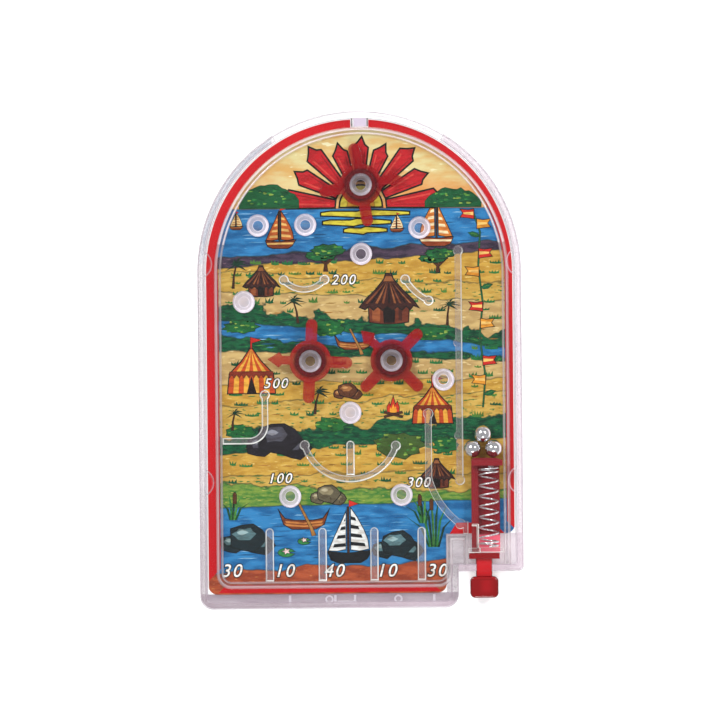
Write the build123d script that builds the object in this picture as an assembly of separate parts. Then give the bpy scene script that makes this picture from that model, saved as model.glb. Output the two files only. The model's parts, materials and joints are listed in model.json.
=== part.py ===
from build123d import *
import math
import os

# Hand-held pinball game lying on its back, in millimetres.
# X runs to the player's right, Y towards the arch and Z up to the player.
# The origin lies on the table, under the middle of the case.

# Outline of the case: a box with an arch on top and a step beside the plunger
case_width = 92.0
case_length = 141.5
case_corner = 3.8
step_width = 18.55
step_length = 10.25
step_corner = 1.5

# Walls of the tray and of the cover
foot_height = 0.6
foot_width = 2.0
foot_edge = 0.25
floor_thickness = 1.4
skirt_wall = 1.2
plate_thickness = 1.5
bead_height = 0.8
bead_width = 2.0
bead_edge = 0.35
bead_gap_angle = 64.0
lip_height = 3.0
lip_fit = 0.1
lip_bottom_clear = 4.8
lip_side_clear = 3.0

# Printed card on the tray
card_thickness = 0.5
card_margin = 2.2
card_bottom_margin = 3.95
card_step_margin = 3.25
card_rise = 10.5
card_corner = 2.6
card_fit = 0.15

# Track wall: the fence round the play space and the plunger's channel
track_wall = 1.9
track_border_left = 4.75
track_border_right = 3.55
track_border_top = 4.7
track_border_bottom = 5.75
track_border_step = 1.55
track_corner = 2.2
channel_width = 10.15
channel_wall = 1.4
hung_gap = 0.1

# Block at the top of the arch that passes through a notch in the card
block_x = 0.45
block_width = 4.7
block_length = 2.3
block_fit = 0.2

# Half-round ribs between the skirt and the track wall
rib_radius = 4.2
rib_wall = 0.7
rib_upper_y = 27.4
rib_lower_y = -34.7
rib_fit = 0.1

# Bars, pegs and a U-shaped rib in the strip below the card
strip_fit = 0.15
strip_bar = 0.7
strip_bar_x = 20.5
strip_peg_places = (-9.3, 10.3)
strip_peg_radius = 1.2
strip_peg_bore = 0.7
strip_u_x = -4.8
strip_u_width = 6.3

# Hollow posts that hang from the cover, placed by X and Y from the lines that a name gives
post_radius = 3.15
post_bore_top = 2.45
post_bore_low = 1.6
post_floor = 1.2
posts_from_left_wall_and_arch = ((10.65, -25.85), (6.45, -47.55))
posts_from_middle_and_arch = ((-15.2, -25.75), (0.6, -34.15))
post_from_lane_and_arch = (-10.9, -26.85)
post_from_left_wall_and_pockets = (19.15, 24.2)
post_from_lane_and_pockets = (-16.7, 24.4)
post_from_lane_and_spinners = (-4.5, -5.57)
post_from_cup = (0.1, 5.3)

# Spinners, each turning on a post of its own
spinner_fit = 0.08
spinner_lift = 0.15
spinner_flange = 6.0
spinner_collar = 0.9
spinner_height = 5.4
spinner_arm_width = 3.3
spinner_arm_thickness = 1.8
spinner_arm_reach = 12.0
spinner_arm_offset = 1.25
spinner_edge = 0.2
arrow_reach = 12.2
arrow_length = 3.3
arrow_barb = 0.9
arrow_width = 4.4
arrow_neck = 2.5
spinner_top_x = 0.7
spinner_top_drop = 14.45
spinner_from_lane = -19.2
spinner_spacing = 23.15
spinner_row_y = -0.43
spinner_top_heading = 10.0
spinner_left_heading = 177.0
spinner_right_heading = 135.0

# Guides that hang from the cover
guide_wall = 1.9
guide_boss = 1.45
upper_arc_x = -15.7
upper_arc_width = 11.6
upper_arc_sag = 2.75
upper_arc_drop = 1.4
short_arc_from_lane = -15.1
short_arc_width = 6.6
short_arc_height = 6.1
short_arc_sag = 0.65
short_arc_drop = 1.55
catch_reach = 12.15
catch_top_y = -9.95
catch_length = 13.05
catch_bend = 4.5
cup_x = -2.95
cup_rise = 42.6
cup_radius = 13.6
cup_left_angle = 196.3
cup_right_angle = 342.0
cup_rib_width = 2.4
cup_rib_drop = 2.65
cup_rib_gap = 0.15

# Lane wall, and the guide that leads balls back under it to the lane
lane_width = 11.35
lane_wall = 2.0
lane_top_rise = 6.5
lane_low_rise = 28.4
lane_joint_boss = 1.3
lane_joint_drops = (26.2, 52.7)
return_gap = 8.9
return_top_rise = 47.4
return_bend_rise = 29.0
return_end_rise = 15.9
return_sag = 1.35

# Dividers between the score pockets, placed from the two ends of the row
divider_wall = 2.4
divider_length = 15.2
dividers_from_left = (13.15, 28.2)
dividers_from_right = (20.4, 6.9)

# Fixed stop that the spring pushes on, with an L-shaped fin
stop_length = 1.4
stop_rise = 3.9
fin_wall = 0.6
fin_gap = 0.35

# Spring between the plunger's head and the stop
spring_diameter = 5.8
spring_wire = 0.5
spring_length = 23.2
spring_seat_gap = 0.1
spring_gap = 0.3
spring_from_wall = 4.25
spring_close_rise = 0.55
spring_close_halves = 3
spring_open_halves = 13

# Plunger, one moulding: nose, head, trough, flange, stem and knob
plunger_gap = 0.3
plunger_side_gap = 0.25
head_length = 1.6
head_slack = 0.7
head_room = 0.8
nose_length = 0.6
nose_slack = 1.9
trough_floor = 0.8
trough_right_gap = 1.05
trough_bar_inset = 1.0
trough_bar_width = 2.0
trough_bar_height = 3.2
flange_length = 1.6
flange_gap = 0.08
flange_left_gap = 0.15
flange_right_gap = 1.35
stem_inset = 4.4
stem_width = 4.7
stem_height = 4.8
stem_length = 5.0
stem_edge = 0.7
knob_width = 8.0
knob_length = 6.1
knob_corner = 1.4
knob_edge = 0.6
pull_length = 16.0
pull_slack = 0.6

# Steel balls, resting on the plunger's nose in the lane
ball_diameter = 5.0
ball_gap = 0.12
ball_rest_gap = 0.05
ball_left_gap = 0.15
ball_right_gap = 0.3

# Heights
floor_top = foot_height + floor_thickness
card_top = floor_top + card_thickness
hung_low = card_top + hung_gap
plunger_low = card_top + plunger_gap
trough_top = plunger_low + trough_floor
spring_z = trough_top + spring_gap + spring_diameter / 2
plate_low = spring_z + spring_diameter / 2 + head_room
plate_top = plate_low + plate_thickness
case_top = plate_top + bead_height
plunger_high = plate_low - head_slack
fin_low = plunger_low + trough_bar_height + fin_gap

# Places of the case, the play space and the card
case_right = case_width / 2
case_high = case_length / 2
case_low = -case_length / 2
arch_y = case_high - case_right
step_x = case_right - step_width
step_y = case_low + step_length
play_left = -case_right + track_border_left + track_wall
play_right = case_right - track_border_right - track_wall
play_low = case_low + track_border_bottom + track_wall
play_radius = (play_right - play_left) / 2
play_x = (play_right + play_left) / 2
play_high = case_high - track_border_top - track_wall
play_arch_y = play_high - play_radius
play_step_x = step_x - track_border_step - track_wall
card_low = step_y + card_rise
card_step_x = step_x - card_step_margin
block_high = case_high - card_margin
block_low = block_high - block_length
channel_left = play_right - channel_width
channel_low = step_y + skirt_wall

# Places of the lane, the stop, the plunger and the balls
lane_left = play_right - lane_width
lane_x = lane_left - lane_wall / 2
lane_high = play_arch_y + lane_top_rise
stop_low = channel_low + stop_rise
stop_high = stop_low + stop_length
head_low = stop_high + spring_length + 2 * spring_seat_gap
head_high = head_low + head_length
nose_high = head_high + nose_length
spring_x = play_right - spring_from_wall
bar_left = channel_left + trough_bar_inset
bar_right = bar_left + trough_bar_width
head_right = play_right - plunger_side_gap
flange_high = stop_low - flange_gap
flange_low = flange_high - flange_length
ball_radius = ball_diameter / 2
ball_z = card_top + ball_rest_gap + ball_radius
stem_x = channel_left + stem_inset
cup_y = play_low + cup_rise
spinner_right_x = lane_x + spinner_from_lane
spinner_left_x = spinner_right_x - spinner_spacing


def between(left, right, low, high):
    """A flat rectangle from its four sides."""
    place = Pos((left + right) / 2, (low + high) / 2)
    return place * Rectangle(right - left, high - low)


def raised(face, low, high):
    """A flat shape stood up from one height to another."""
    return extrude(Pos(0, 0, low) * face, amount=high - low)


def hung(face):
    """A flat shape as a wall from just above the card to the cover."""
    return raised(face, hung_low, plate_low)


def dot(x, y, radius):
    """A flat disc."""
    return Pos(x, y) * Circle(radius)


def corner_near(face, point):
    """The corner of a flat shape that lies nearest to a point."""
    return face.vertices().sort_by_distance(Vector(*point))[0]


def arched_face(left, right, arch_x, spring_y, low, steps):
    """A straight-sided shape with a round arch on top and steps along its lower side."""
    radius = (right - left) / 2
    sides = Polyline((left, spring_y), (left, low), *steps, (right, spring_y))
    arch = ThreePointArc((right, spring_y), (arch_x, spring_y + radius), (left, spring_y))
    return make_face([*sides.edges(), *arch.edges()])


def case_face(inset):
    """The outline of the case, moved in by an even inset."""
    right = case_right - inset
    low = case_low + inset
    steps = [(step_x - inset, low), (step_x - inset, step_y + inset), (right, step_y + inset)]
    face = arched_face(-right, right, 0, arch_y, low, steps)
    corners = [corner_near(face, (-right, low)), corner_near(face, steps[0])]
    face = fillet(corners, max(case_corner - inset, 0.4))
    return fillet(corner_near(face, steps[2]), max(step_corner - inset, 0.4))


def play_face(grow, channel_grow):
    """The play space with the plunger's channel, grown outwards by a wall."""
    left = play_left - grow
    right = play_right + grow
    low = play_low - grow
    steps = [
        (play_step_x + grow, low),
        (play_step_x + grow, card_low - grow),
        (channel_left - channel_grow, card_low - grow),
        (channel_left - channel_grow, channel_low),
        (right, channel_low),
    ]
    face = arched_face(left, right, play_x, play_arch_y, low, steps)
    corners = [corner_near(face, (left, low)), corner_near(face, steps[0])]
    return fillet(corners, track_corner + grow)


def card_face():
    """The arched card, with its lower right step and the notch for the top block."""
    right = case_right - card_margin
    low = case_low + card_bottom_margin
    steps = [(card_step_x, low), (card_step_x, card_low), (right, card_low)]
    face = arched_face(-right, right, 0, arch_y, low, steps)
    corners = [corner_near(face, (-right, low)), corner_near(face, steps[0])]
    face = fillet(corners + [corner_near(face, steps[2])], card_corner)
    side = block_width / 2 + block_fit
    return face - between(block_x - side, block_x + side, block_low - block_fit, case_high)


def lip_face():
    """The low lip that holds the card and centres the cover's skirt."""
    ring = case_face(skirt_wall + lip_fit) - case_face(card_margin - card_fit)
    ring -= between(-case_right, case_right, case_low, case_low + lip_bottom_clear)
    return ring - between(0, case_right, case_low, card_low + lip_side_clear)


def strip_face():
    """Bars, pegs and a U-shaped rib between the card's lower edge and the skirt."""
    high = case_low + card_bottom_margin - strip_fit
    low = case_low + skirt_wall + strip_fit
    half_bar = strip_bar / 2
    shapes = Sketch()
    for x in (-strip_bar_x, strip_bar_x):
        shapes += between(x - half_bar, x + half_bar, low, high)
    for x in strip_peg_places:
        middle = (low + high) / 2
        shapes += dot(x, middle, strip_peg_radius) - dot(x, middle, strip_peg_bore)
    left = strip_u_x - strip_u_width / 2
    right = strip_u_x + strip_u_width / 2
    shapes += between(left, right, low, high)
    shapes -= between(left + strip_bar, right - strip_bar, low + strip_bar, high)
    return shapes


def base_tray():
    """Clear tray: foot rim, floor, lip round the card and the ribs below the card."""
    foot = raised(case_face(0) - case_face(foot_width), 0, foot_height)
    foot = fillet(foot.edges().group_by(Axis.Z)[0], foot_edge)
    floor = raised(case_face(0), foot_height, floor_top)
    lip = raised(lip_face(), floor_top, floor_top + lip_height)
    strip = raised(strip_face(), floor_top, plate_low - strip_fit)
    return foot + floor + lip + strip


def playfield_card():
    """Printed card that lies on the tray."""
    return raised(card_face(), floor_top, card_top)


def post_places():
    """Centres of the posts that only turn balls aside."""
    places = [(play_left + x, play_high + y) for x, y in posts_from_left_wall_and_arch]
    places += [(x, play_high + y) for x, y in posts_from_middle_and_arch]
    lines = {
        (lane_x, play_high): post_from_lane_and_arch,
        (play_left, play_low): post_from_left_wall_and_pockets,
        (lane_x, play_low): post_from_lane_and_pockets,
        (lane_x, spinner_row_y): post_from_lane_and_spinners,
        (cup_x, cup_y): post_from_cup,
    }
    return places + [(line[0] + x, line[1] + y) for line, (x, y) in lines.items()]


def spinner_places():
    """Centres of the spinners: top, left and right."""
    return {
        "top": (spinner_top_x, play_high - spinner_top_drop),
        "left": (spinner_left_x, spinner_row_y),
        "right": (spinner_right_x, spinner_row_y),
    }


def post_bore(place):
    """The tapered hollow of a post, open at the top of the cover."""
    low = hung_low + post_floor
    depth = plate_top - low
    cone = Cone(post_bore_low, post_bore_top, depth)
    return Pos(place[0], place[1], low + depth / 2) * cone


def post(place):
    """Hollow post with a closed foot."""
    return hung(dot(*place, post_radius)) - post_bore(place)


def top_block():
    """Block that hangs through the notch in the card, down to the tray."""
    side = block_width / 2
    face = between(block_x - side, block_x + side, block_low, block_high)
    return raised(face, floor_top + strip_fit, plate_low)


def half_round_ribs():
    """Four half-round ribs that stiffen the skirt beside the card."""
    room = case_face(skirt_wall) - play_face(track_wall + rib_fit, channel_wall + rib_fit)
    shapes = Sketch()
    for x in (-case_right, case_right):
        for y in (rib_lower_y, rib_upper_y):
            shapes += dot(x, y, rib_radius) - dot(x, y, rib_radius - rib_wall)
    return raised(shapes & room, floor_top + lip_height + strip_fit, plate_low)


def bead_gap():
    """The stretch at the top of the arch where the cover's bead is left out."""
    reach = 2 * case_right
    half = math.radians(bead_gap_angle / 2)
    side = reach * math.sin(half)
    high = arch_y + reach * math.cos(half)
    wedge = make_face(Polyline((0, arch_y), (side, high), (-side, high), close=True))
    return raised(wedge, plate_top, case_top)


def top_cover():
    """Clear cover: plate with a raised bead, skirt, half-round ribs and top block."""
    shell = raised(case_face(0), floor_top, case_top)
    shell -= raised(case_face(bead_width), plate_top, case_top)
    shell -= bead_gap()
    shell = fillet(shell.edges().group_by(Axis.Z)[-1], bead_edge)
    shell -= raised(case_face(skirt_wall), floor_top, plate_low)
    slot = between(channel_left, play_right, step_y, channel_low)
    shell -= raised(slot, floor_top, plate_low)
    for place in post_places() + list(spinner_places().values()):
        shell -= post_bore(place)
    return shell + half_round_ribs() + top_block()


def track_walls():
    """Fence round the play space and along both sides of the plunger's channel."""
    return hung(play_face(track_wall, channel_wall) - play_face(0, 0))


def rib(path, width):
    """A flat rib of even width along a path."""
    return trace(path, line_width=width)


def sagged_arc(start, end, sag):
    """An arc that bulges to the right of the way from its start to its end."""
    start = Vector(*start)
    end = Vector(*end)
    way = (end - start).normalized()
    middle = (start + end) * 0.5 + Vector(way.Y, -way.X) * sag
    return ThreePointArc(start, middle, end)


def bossed_arc(start, end, sag):
    """A curved guide with a round boss at each end."""
    face = rib(sagged_arc(start, end, sag), guide_wall)
    return hung(face + dot(*start, guide_boss) + dot(*end, guide_boss))


def upper_arc_guide():
    """Shallow smile-shaped guide under the upper left posts."""
    y = play_arch_y - upper_arc_drop
    half = upper_arc_width / 2
    return bossed_arc((upper_arc_x - half, y), (upper_arc_x + half, y), upper_arc_sag)


def short_arc_guide():
    """Short falling curve under the upper right post."""
    x = lane_x + short_arc_from_lane
    high = play_arch_y - short_arc_drop
    return bossed_arc((x, high), (x + short_arc_width, high - short_arc_height), short_arc_sag)


def catch_guide():
    """L-shaped guide that makes a pocket against the left wall."""
    x = play_left + catch_reach
    low = catch_top_y - catch_length
    fall = Line((x, catch_top_y), (x, low + catch_bend))
    bend = JernArc(fall @ 1, (0, -1), catch_bend, -90)
    run = Line(bend @ 1, (play_left, low))
    face = rib(Curve() + [fall, bend, run], guide_wall)
    return hung(face + dot(x, catch_top_y, guide_boss))


def cup_guide():
    """Wide cup in the middle of the field."""
    sweep_angle = cup_right_angle - cup_left_angle
    path = CenterArc((cup_x, cup_y), cup_radius, cup_left_angle, sweep_angle)
    face = rib(path, guide_wall)
    for end in (path @ 0, path @ 1):
        face += dot(end.X, end.Y, guide_boss)
    return hung(face)


def cup_rib():
    """Upright rib that splits the cup in two."""
    half = cup_rib_width / 2
    high = cup_y - cup_rib_drop
    low = cup_y - cup_radius + guide_wall / 2 + cup_rib_gap
    face = between(cup_x - half, cup_x + half, low, high - half)
    return hung(face + dot(cup_x, high - half, half))


def lane_walls():
    """Straight wall between the field and the launch lane, with round joints."""
    low = play_low + lane_low_rise
    half = lane_wall / 2
    face = between(lane_x - half, lane_x + half, low, lane_high)
    for drop in lane_joint_drops:
        face += dot(lane_x - lane_joint_boss + half, lane_high - drop, lane_joint_boss)
    return hung(face + dot(lane_x, low, guide_boss) + dot(lane_x, lane_high, guide_boss))


def return_guide():
    """Guide beside the lane wall that turns outwards and leads balls to the plunger."""
    x = lane_x - return_gap
    top = play_low + return_top_rise
    bend = play_low + return_bend_rise
    end = play_low + return_end_rise
    face = rib(Line((x, top), (x, bend)), guide_wall)
    face += rib(sagged_arc((x, bend), (lane_x, end), return_sag), guide_wall)
    face += dot(x, bend, guide_wall / 2)
    face += dot(x, top, guide_boss) + dot(lane_x, end, guide_boss)
    half = channel_wall / 2
    face += between(lane_x, channel_left, end - half, end + half)
    face += between(channel_left - channel_wall, channel_left, card_low, end + half)
    return hung(face)


def divider_places():
    """X of each divider, from left to right."""
    places = [play_left + gap for gap in dividers_from_left]
    return places + [play_step_x - gap for gap in dividers_from_right]


def pocket_divider(x):
    """Round-topped divider between two score pockets."""
    half = divider_wall / 2
    high = play_low + divider_length - half
    return hung(between(x - half, x + half, play_low, high) + dot(x, high, half))


def spring_stop():
    """Bar across the channel that holds the spring's end, and its L-shaped fin."""
    bar = raised(between(channel_left, play_right, stop_low, stop_high), fin_low, plate_low)
    leg_left = bar_right + fin_gap
    leg = raised(between(leg_left, play_right, stop_low, stop_high), trough_top + fin_gap, fin_low)
    fin_high = head_low - pull_length - pull_slack
    fin = between(bar_right - fin_wall, bar_right, stop_high, fin_high)
    hook = between(bar_left, bar_right, fin_high - fin_wall, fin_high)
    return bar + leg + raised(fin + hook, fin_low, plate_low)


def spinner(place, heading, arms_low):
    """Spinner with a collar, three plain arms and one arrow, on its post."""
    low = card_top + spinner_lift
    high = low + spinner_height
    offset = -spinner_arm_offset if arms_low else spinner_arm_offset
    arm_low = (low + high - spinner_arm_thickness) / 2 + offset
    bore = post_radius + spinner_fit
    half = spinner_arm_width / 2
    arms = Circle(spinner_flange)
    for turn in (90, 180, 270):
        arm = between(0, spinner_arm_reach - half, -half, half)
        arms += Rot(0, 0, turn) * (arm + dot(spinner_arm_reach - half, 0, half))
    blades = raised(arms + arrow_arm(), arm_low, arm_low + spinner_arm_thickness)
    rims = blades.edges().group_by(Axis.Z)
    blades = fillet(rims[0] + rims[-1], spinner_edge)
    collar = raised(Circle(bore + spinner_collar), low, high)
    shape = blades + collar - raised(Circle(bore), low, high)
    return Pos(*place, 0) * Rot(0, 0, heading) * shape


def arrow_arm():
    """The arm along X that ends in an arrow head."""
    neck = arrow_neck / 2
    wide = arrow_width / 2
    shoulder = arrow_reach - arrow_length
    head = Polyline(
        (0, -neck),
        (shoulder - arrow_barb, -neck),
        (shoulder, -wide),
        (arrow_reach, 0),
        (shoulder, wide),
        (shoulder - arrow_barb, neck),
        (0, neck),
        close=True,
    )
    return make_face(head)


def plunger():
    """Plunger: chamfered nose, head, open trough with one side bar, flange, stem, knob."""
    head = between(bar_left, head_right, head_low, head_high)
    nose = make_face(
        Polyline(
            (bar_left, head_high),
            (head_right, head_high),
            (head_right - nose_slack, nose_high),
            (bar_left + nose_length, nose_high),
            close=True,
        )
    )
    floor = between(bar_left, play_right - trough_right_gap, flange_high, head_low)
    bar = between(bar_left, bar_right, flange_high, head_low)
    flange_left = channel_left + flange_left_gap
    flange_right = play_right - flange_right_gap
    flange = between(flange_left, flange_right, flange_low, flange_high)
    body = raised(head, plunger_low, plunger_high)
    body += raised(nose, plunger_low, plunger_high - nose_slack / 2)
    body += raised(floor, plunger_low, trough_top)
    body += raised(bar, plunger_low, plunger_low + trough_bar_height)
    body += raised(flange, plunger_low, plunger_high)
    return body + stem() + knob()


def stem():
    """The plunger's stem, with rounded long edges."""
    middle = (plunger_low + plunger_high) / 2
    block = Box(stem_width, stem_length, stem_height)
    block = fillet(block.edges().filter_by(Axis.Y), stem_edge)
    return Pos(stem_x, flange_low - stem_length / 2, middle) * block


def knob():
    """The knob that the player pulls, rounded all over."""
    middle = (plunger_low + plunger_high) / 2
    height = plunger_high - plunger_low
    block = Box(knob_width, knob_length, height)
    block = fillet(block.edges().filter_by(Axis.Z), knob_corner)
    block = fillet(block.edges().group_by(Axis.Z)[0] + block.edges().group_by(Axis.Z)[-1], knob_edge)
    return Pos(stem_x, flange_low - stem_length - knob_length / 2, middle) * block


def spring_nodes():
    """Points on the spring's centre line at each half turn, with their tangents."""
    halves = 2 * spring_close_halves + spring_open_halves
    run = spring_length - spring_wire
    open_rise = (run - 2 * spring_close_halves * spring_close_rise) / spring_open_halves
    rises = [
        spring_close_rise
        if half < spring_close_halves or half >= halves - spring_close_halves
        else open_rise
        for half in range(halves)
    ]
    radius = (spring_diameter - spring_wire) / 2
    y = stop_high + spring_seat_gap + spring_wire / 2
    points = []
    for index in range(halves + 1):
        before = rises[max(index - 1, 0)]
        after = rises[min(index, halves - 1)]
        side = 1 if index % 2 == 0 else -1
        slope = (before + after) / 2 / math.pi
        points.append(
            (Vector(spring_x, y, spring_z + side * radius), Vector(side * radius, slope, 0).normalized())
        )
        y += after
    return points


def biarc(start, start_way, end, end_way):
    """Two arcs that leave one point and reach another along given tangents."""
    chord = end - start
    ways = start_way + end_way
    spread = 2 * (1 - start_way.dot(end_way))
    reach = (math.sqrt(chord.dot(ways) ** 2 + spread * chord.dot(chord)) - chord.dot(ways)) / spread
    first = start + start_way * reach
    last = end - end_way * reach
    middle = (first + last) * 0.5
    return [arc_by_corner(start, first, middle), arc_by_corner(middle, last, end)]


def arc_by_corner(start, corner, end):
    """The arc between two points whose tangents meet at a corner."""
    middle = (start + end) * 0.5
    half = (end - start).length / 2
    rise = (corner - middle).length
    turn = 2 * math.atan2(rise, half)
    bulge = half * math.tan(turn / 4)
    return ThreePointArc(start, middle + (corner - middle).normalized() * bulge, end)


def spring_path():
    """The centre line of the spring as arcs, two for each half turn."""
    points = spring_nodes()
    arcs = []
    for (start, start_way), (end, end_way) in zip(points, points[1:]):
        arcs += biarc(start, start_way, end, end_way)
    return arcs


def plunger_spring():
    """Open coil spring with closer turns at both ends."""
    arcs = spring_path()
    path = Wire([arc.edge() for arc in arcs])
    section = Plane(origin=path @ 0, z_dir=path % 0) * Circle(spring_wire / 2)
    report_spring(arcs)
    return sweep(section, path=path)


def report_spring(arcs):
    """Print the least gap between the spring's turns, measured on points."""
    steps = 8
    points = [arc @ (step / steps) for arc in arcs for step in range(steps)]
    turn = 4 * steps
    least = min(
        (points[i] - points[j]).length
        for i in range(len(points))
        for j in range(i + turn // 2, len(points))
    )
    print(f"plunger_spring: least gap to itself {least - spring_wire:.3f} mm")


def ball_places():
    """Centres of the balls: two on the nose and one in the dip above them."""
    left_x = lane_left + ball_left_gap + ball_radius
    right_x = play_right - ball_right_gap - ball_radius
    y = nose_high + ball_gap + ball_radius
    half = (right_x - left_x) / 2
    rise = math.sqrt((ball_diameter + ball_gap) ** 2 - half**2)
    return {
        "left": (left_x, y),
        "right": (right_x, y),
        "top": (left_x + half, y + rise),
    }


def ball(place):
    """Steel ball resting on the card."""
    return Pos(*place, ball_z) * Sphere(ball_radius)


def all_parts():
    """Every sub-part by its name."""
    parts = {
        "base_tray": base_tray(),
        "playfield_card": playfield_card(),
        "top_cover": top_cover(),
        "track_wall": track_walls(),
        "lane_wall": lane_walls(),
        "return_guide": return_guide(),
        "catch_guide": catch_guide(),
        "upper_arc_guide": upper_arc_guide(),
        "short_arc_guide": short_arc_guide(),
        "cup_guide": cup_guide(),
        "cup_rib": cup_rib(),
        "spring_stop": spring_stop(),
        "plunger": plunger(),
        "plunger_spring": plunger_spring(),
    }
    for number, place in enumerate(divider_places(), start=1):
        parts[f"pocket_divider_{number}"] = pocket_divider(place)
    for number, place in enumerate(post_places(), start=1):
        parts[f"bumper_post_{number}"] = post(place)
    headings = {
        "top": (spinner_top_heading, True),
        "left": (spinner_left_heading, False),
        "right": (spinner_right_heading, True),
    }
    for name, place in spinner_places().items():
        parts[f"spinner_post_{name}"] = post(place)
        parts[f"spinner_{name}"] = spinner(place, *headings[name])
    for name, place in ball_places().items():
        parts[f"ball_{name}"] = ball(place)
    return parts


os.makedirs("parts", exist_ok=True)
for part_name, shape in all_parts().items():
    export_step(shape, f"parts/{part_name}.step")
print(f"plunger: pull {pull_length} mm, head to fin {pull_length + pull_slack:.1f} mm")
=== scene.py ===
"""Looks of a hand-held pinball game: clear case, printed card, red plunger and spinners, steel balls."""

from __future__ import annotations

import json
import logging
import math
import random
from dataclasses import dataclass, field
from enum import Enum
from typing import Any, Callable, ClassVar, Iterable, Sequence

import bmesh
import bpy
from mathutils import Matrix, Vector

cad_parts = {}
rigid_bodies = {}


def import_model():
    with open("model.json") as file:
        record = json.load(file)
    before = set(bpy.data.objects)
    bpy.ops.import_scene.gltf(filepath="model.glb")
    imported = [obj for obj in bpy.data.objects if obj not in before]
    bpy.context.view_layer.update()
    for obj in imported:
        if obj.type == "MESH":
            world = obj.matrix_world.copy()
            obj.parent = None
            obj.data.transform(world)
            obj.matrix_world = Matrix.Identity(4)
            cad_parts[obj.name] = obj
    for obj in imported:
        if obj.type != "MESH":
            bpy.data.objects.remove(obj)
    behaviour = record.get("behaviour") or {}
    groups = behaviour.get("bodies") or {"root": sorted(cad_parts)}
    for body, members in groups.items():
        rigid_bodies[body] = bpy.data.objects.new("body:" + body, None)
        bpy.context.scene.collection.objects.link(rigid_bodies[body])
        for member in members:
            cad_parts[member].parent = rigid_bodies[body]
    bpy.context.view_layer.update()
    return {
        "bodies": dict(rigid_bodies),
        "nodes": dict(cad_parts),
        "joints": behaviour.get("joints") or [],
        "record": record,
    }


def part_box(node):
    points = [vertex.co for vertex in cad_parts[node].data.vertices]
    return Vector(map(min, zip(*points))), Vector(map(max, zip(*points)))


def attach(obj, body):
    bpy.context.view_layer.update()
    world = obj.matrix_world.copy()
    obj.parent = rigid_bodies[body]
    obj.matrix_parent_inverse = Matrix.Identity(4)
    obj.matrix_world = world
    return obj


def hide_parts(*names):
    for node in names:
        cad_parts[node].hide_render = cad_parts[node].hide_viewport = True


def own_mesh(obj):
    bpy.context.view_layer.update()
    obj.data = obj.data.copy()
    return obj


LOG = logging.getLogger("pinball")
MM = 0.001
HAZE = "haze"
INK = "ink"
BLACK = "#000000"
DARK = "#0f1512"
WELD = 1e-7
ACRYLIC = 1.49
SHARP = math.radians(35)
FLAT = math.radians(0.4)
SMOOTH = math.radians(30)
# Painted highlights on the clear plastic go to the edges that face this way, to the lower right.
TOWARDS_LIGHT = (0.62, -0.78)
Point = tuple[float, float]
Colour = tuple[float, float, float, float]
Shape = tuple[Sequence[Point], str, int, float]


def ink(code: str) -> Colour:
    """Turn a colour such as "#c12025" into linear light.

    Args:
        code: Two hexadecimal digits each for red, green and blue.

    Returns:
        Red, green, blue and a full alpha.
    """
    parts = [int(code[start:start + 2], 16) / 255 for start in (1, 3, 5)]
    linear = [part / 12.92 if part <= 0.04045 else ((part + 0.055) / 1.055) ** 2.4 for part in parts]
    return (linear[0], linear[1], linear[2], 1.0)


class Signal:
    """A number in a node tree, with Python arithmetic."""

    def __init__(self, board: Board, socket: bpy.types.NodeSocket) -> None:
        """Hold a socket and the board that it is on."""
        self.board = board
        self.socket = socket

    def maths(self, operation: str, *others: Signal | float) -> Signal:
        """Add a Math node that works on this number and others, and give its result."""
        inputs = {index: value for index, value in enumerate((self, *others))}
        return self.board.number("ShaderNodeMath", {"operation": operation}, inputs)

    def __add__(self, other: Signal | float) -> Signal:
        """Sum."""
        return self.maths("ADD", other)

    __radd__ = __add__

    def __sub__(self, other: Signal | float) -> Signal:
        """Difference."""
        return self.maths("SUBTRACT", other)

    def __rsub__(self, other: float) -> Signal:
        """Difference from a number."""
        return self.maths("MULTIPLY_ADD", -1.0, other)

    def __mul__(self, other: Signal | float) -> Signal:
        """Product."""
        return self.maths("MULTIPLY", other)

    __rmul__ = __mul__

    def __truediv__(self, other: Signal | float) -> Signal:
        """Quotient."""
        return self.maths("DIVIDE", other)

    def __abs__(self) -> Signal:
        """Size without sign."""
        return self.maths("ABSOLUTE")

    def __gt__(self, other: Signal | float) -> Signal:
        """One where this is larger, and zero elsewhere."""
        return self.maths("GREATER_THAN", other)

    def __lt__(self, other: Signal | float) -> Signal:
        """One where this is smaller, and zero elsewhere."""
        return self.maths("LESS_THAN", other)

    def at_least(self, other: Signal | float) -> Signal:
        """The larger of two numbers."""
        return self.maths("MAXIMUM", other)

    def at_most(self, other: Signal | float) -> Signal:
        """The smaller of two numbers."""
        return self.maths("MINIMUM", other)

    def span(self, other: Signal) -> Signal:
        """The length of the vector that this number and another one make."""
        return (self * self + other * other).maths("SQRT")

    def between(self, low: float, high: float) -> Signal:
        """One where this lies between two numbers, and zero elsewhere."""
        return (self > low) * (self < high)

    def ramp(self, low: float, high: float, start: float = 0.0, end: float = 1.0) -> Signal:
        """Ease from one value to another while this number runs from low to high.

        Args:
            low: Where the change begins.
            high: Where the change ends.
            start: The value at low.
            end: The value at high.

        Returns:
            The eased value.
        """
        settings = {"interpolation_type": "SMOOTHSTEP"}
        inputs = {"Value": self, "From Min": low, "From Max": high, "To Min": start, "To Max": end}
        return self.board.number("ShaderNodeMapRange", settings, inputs)


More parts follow.
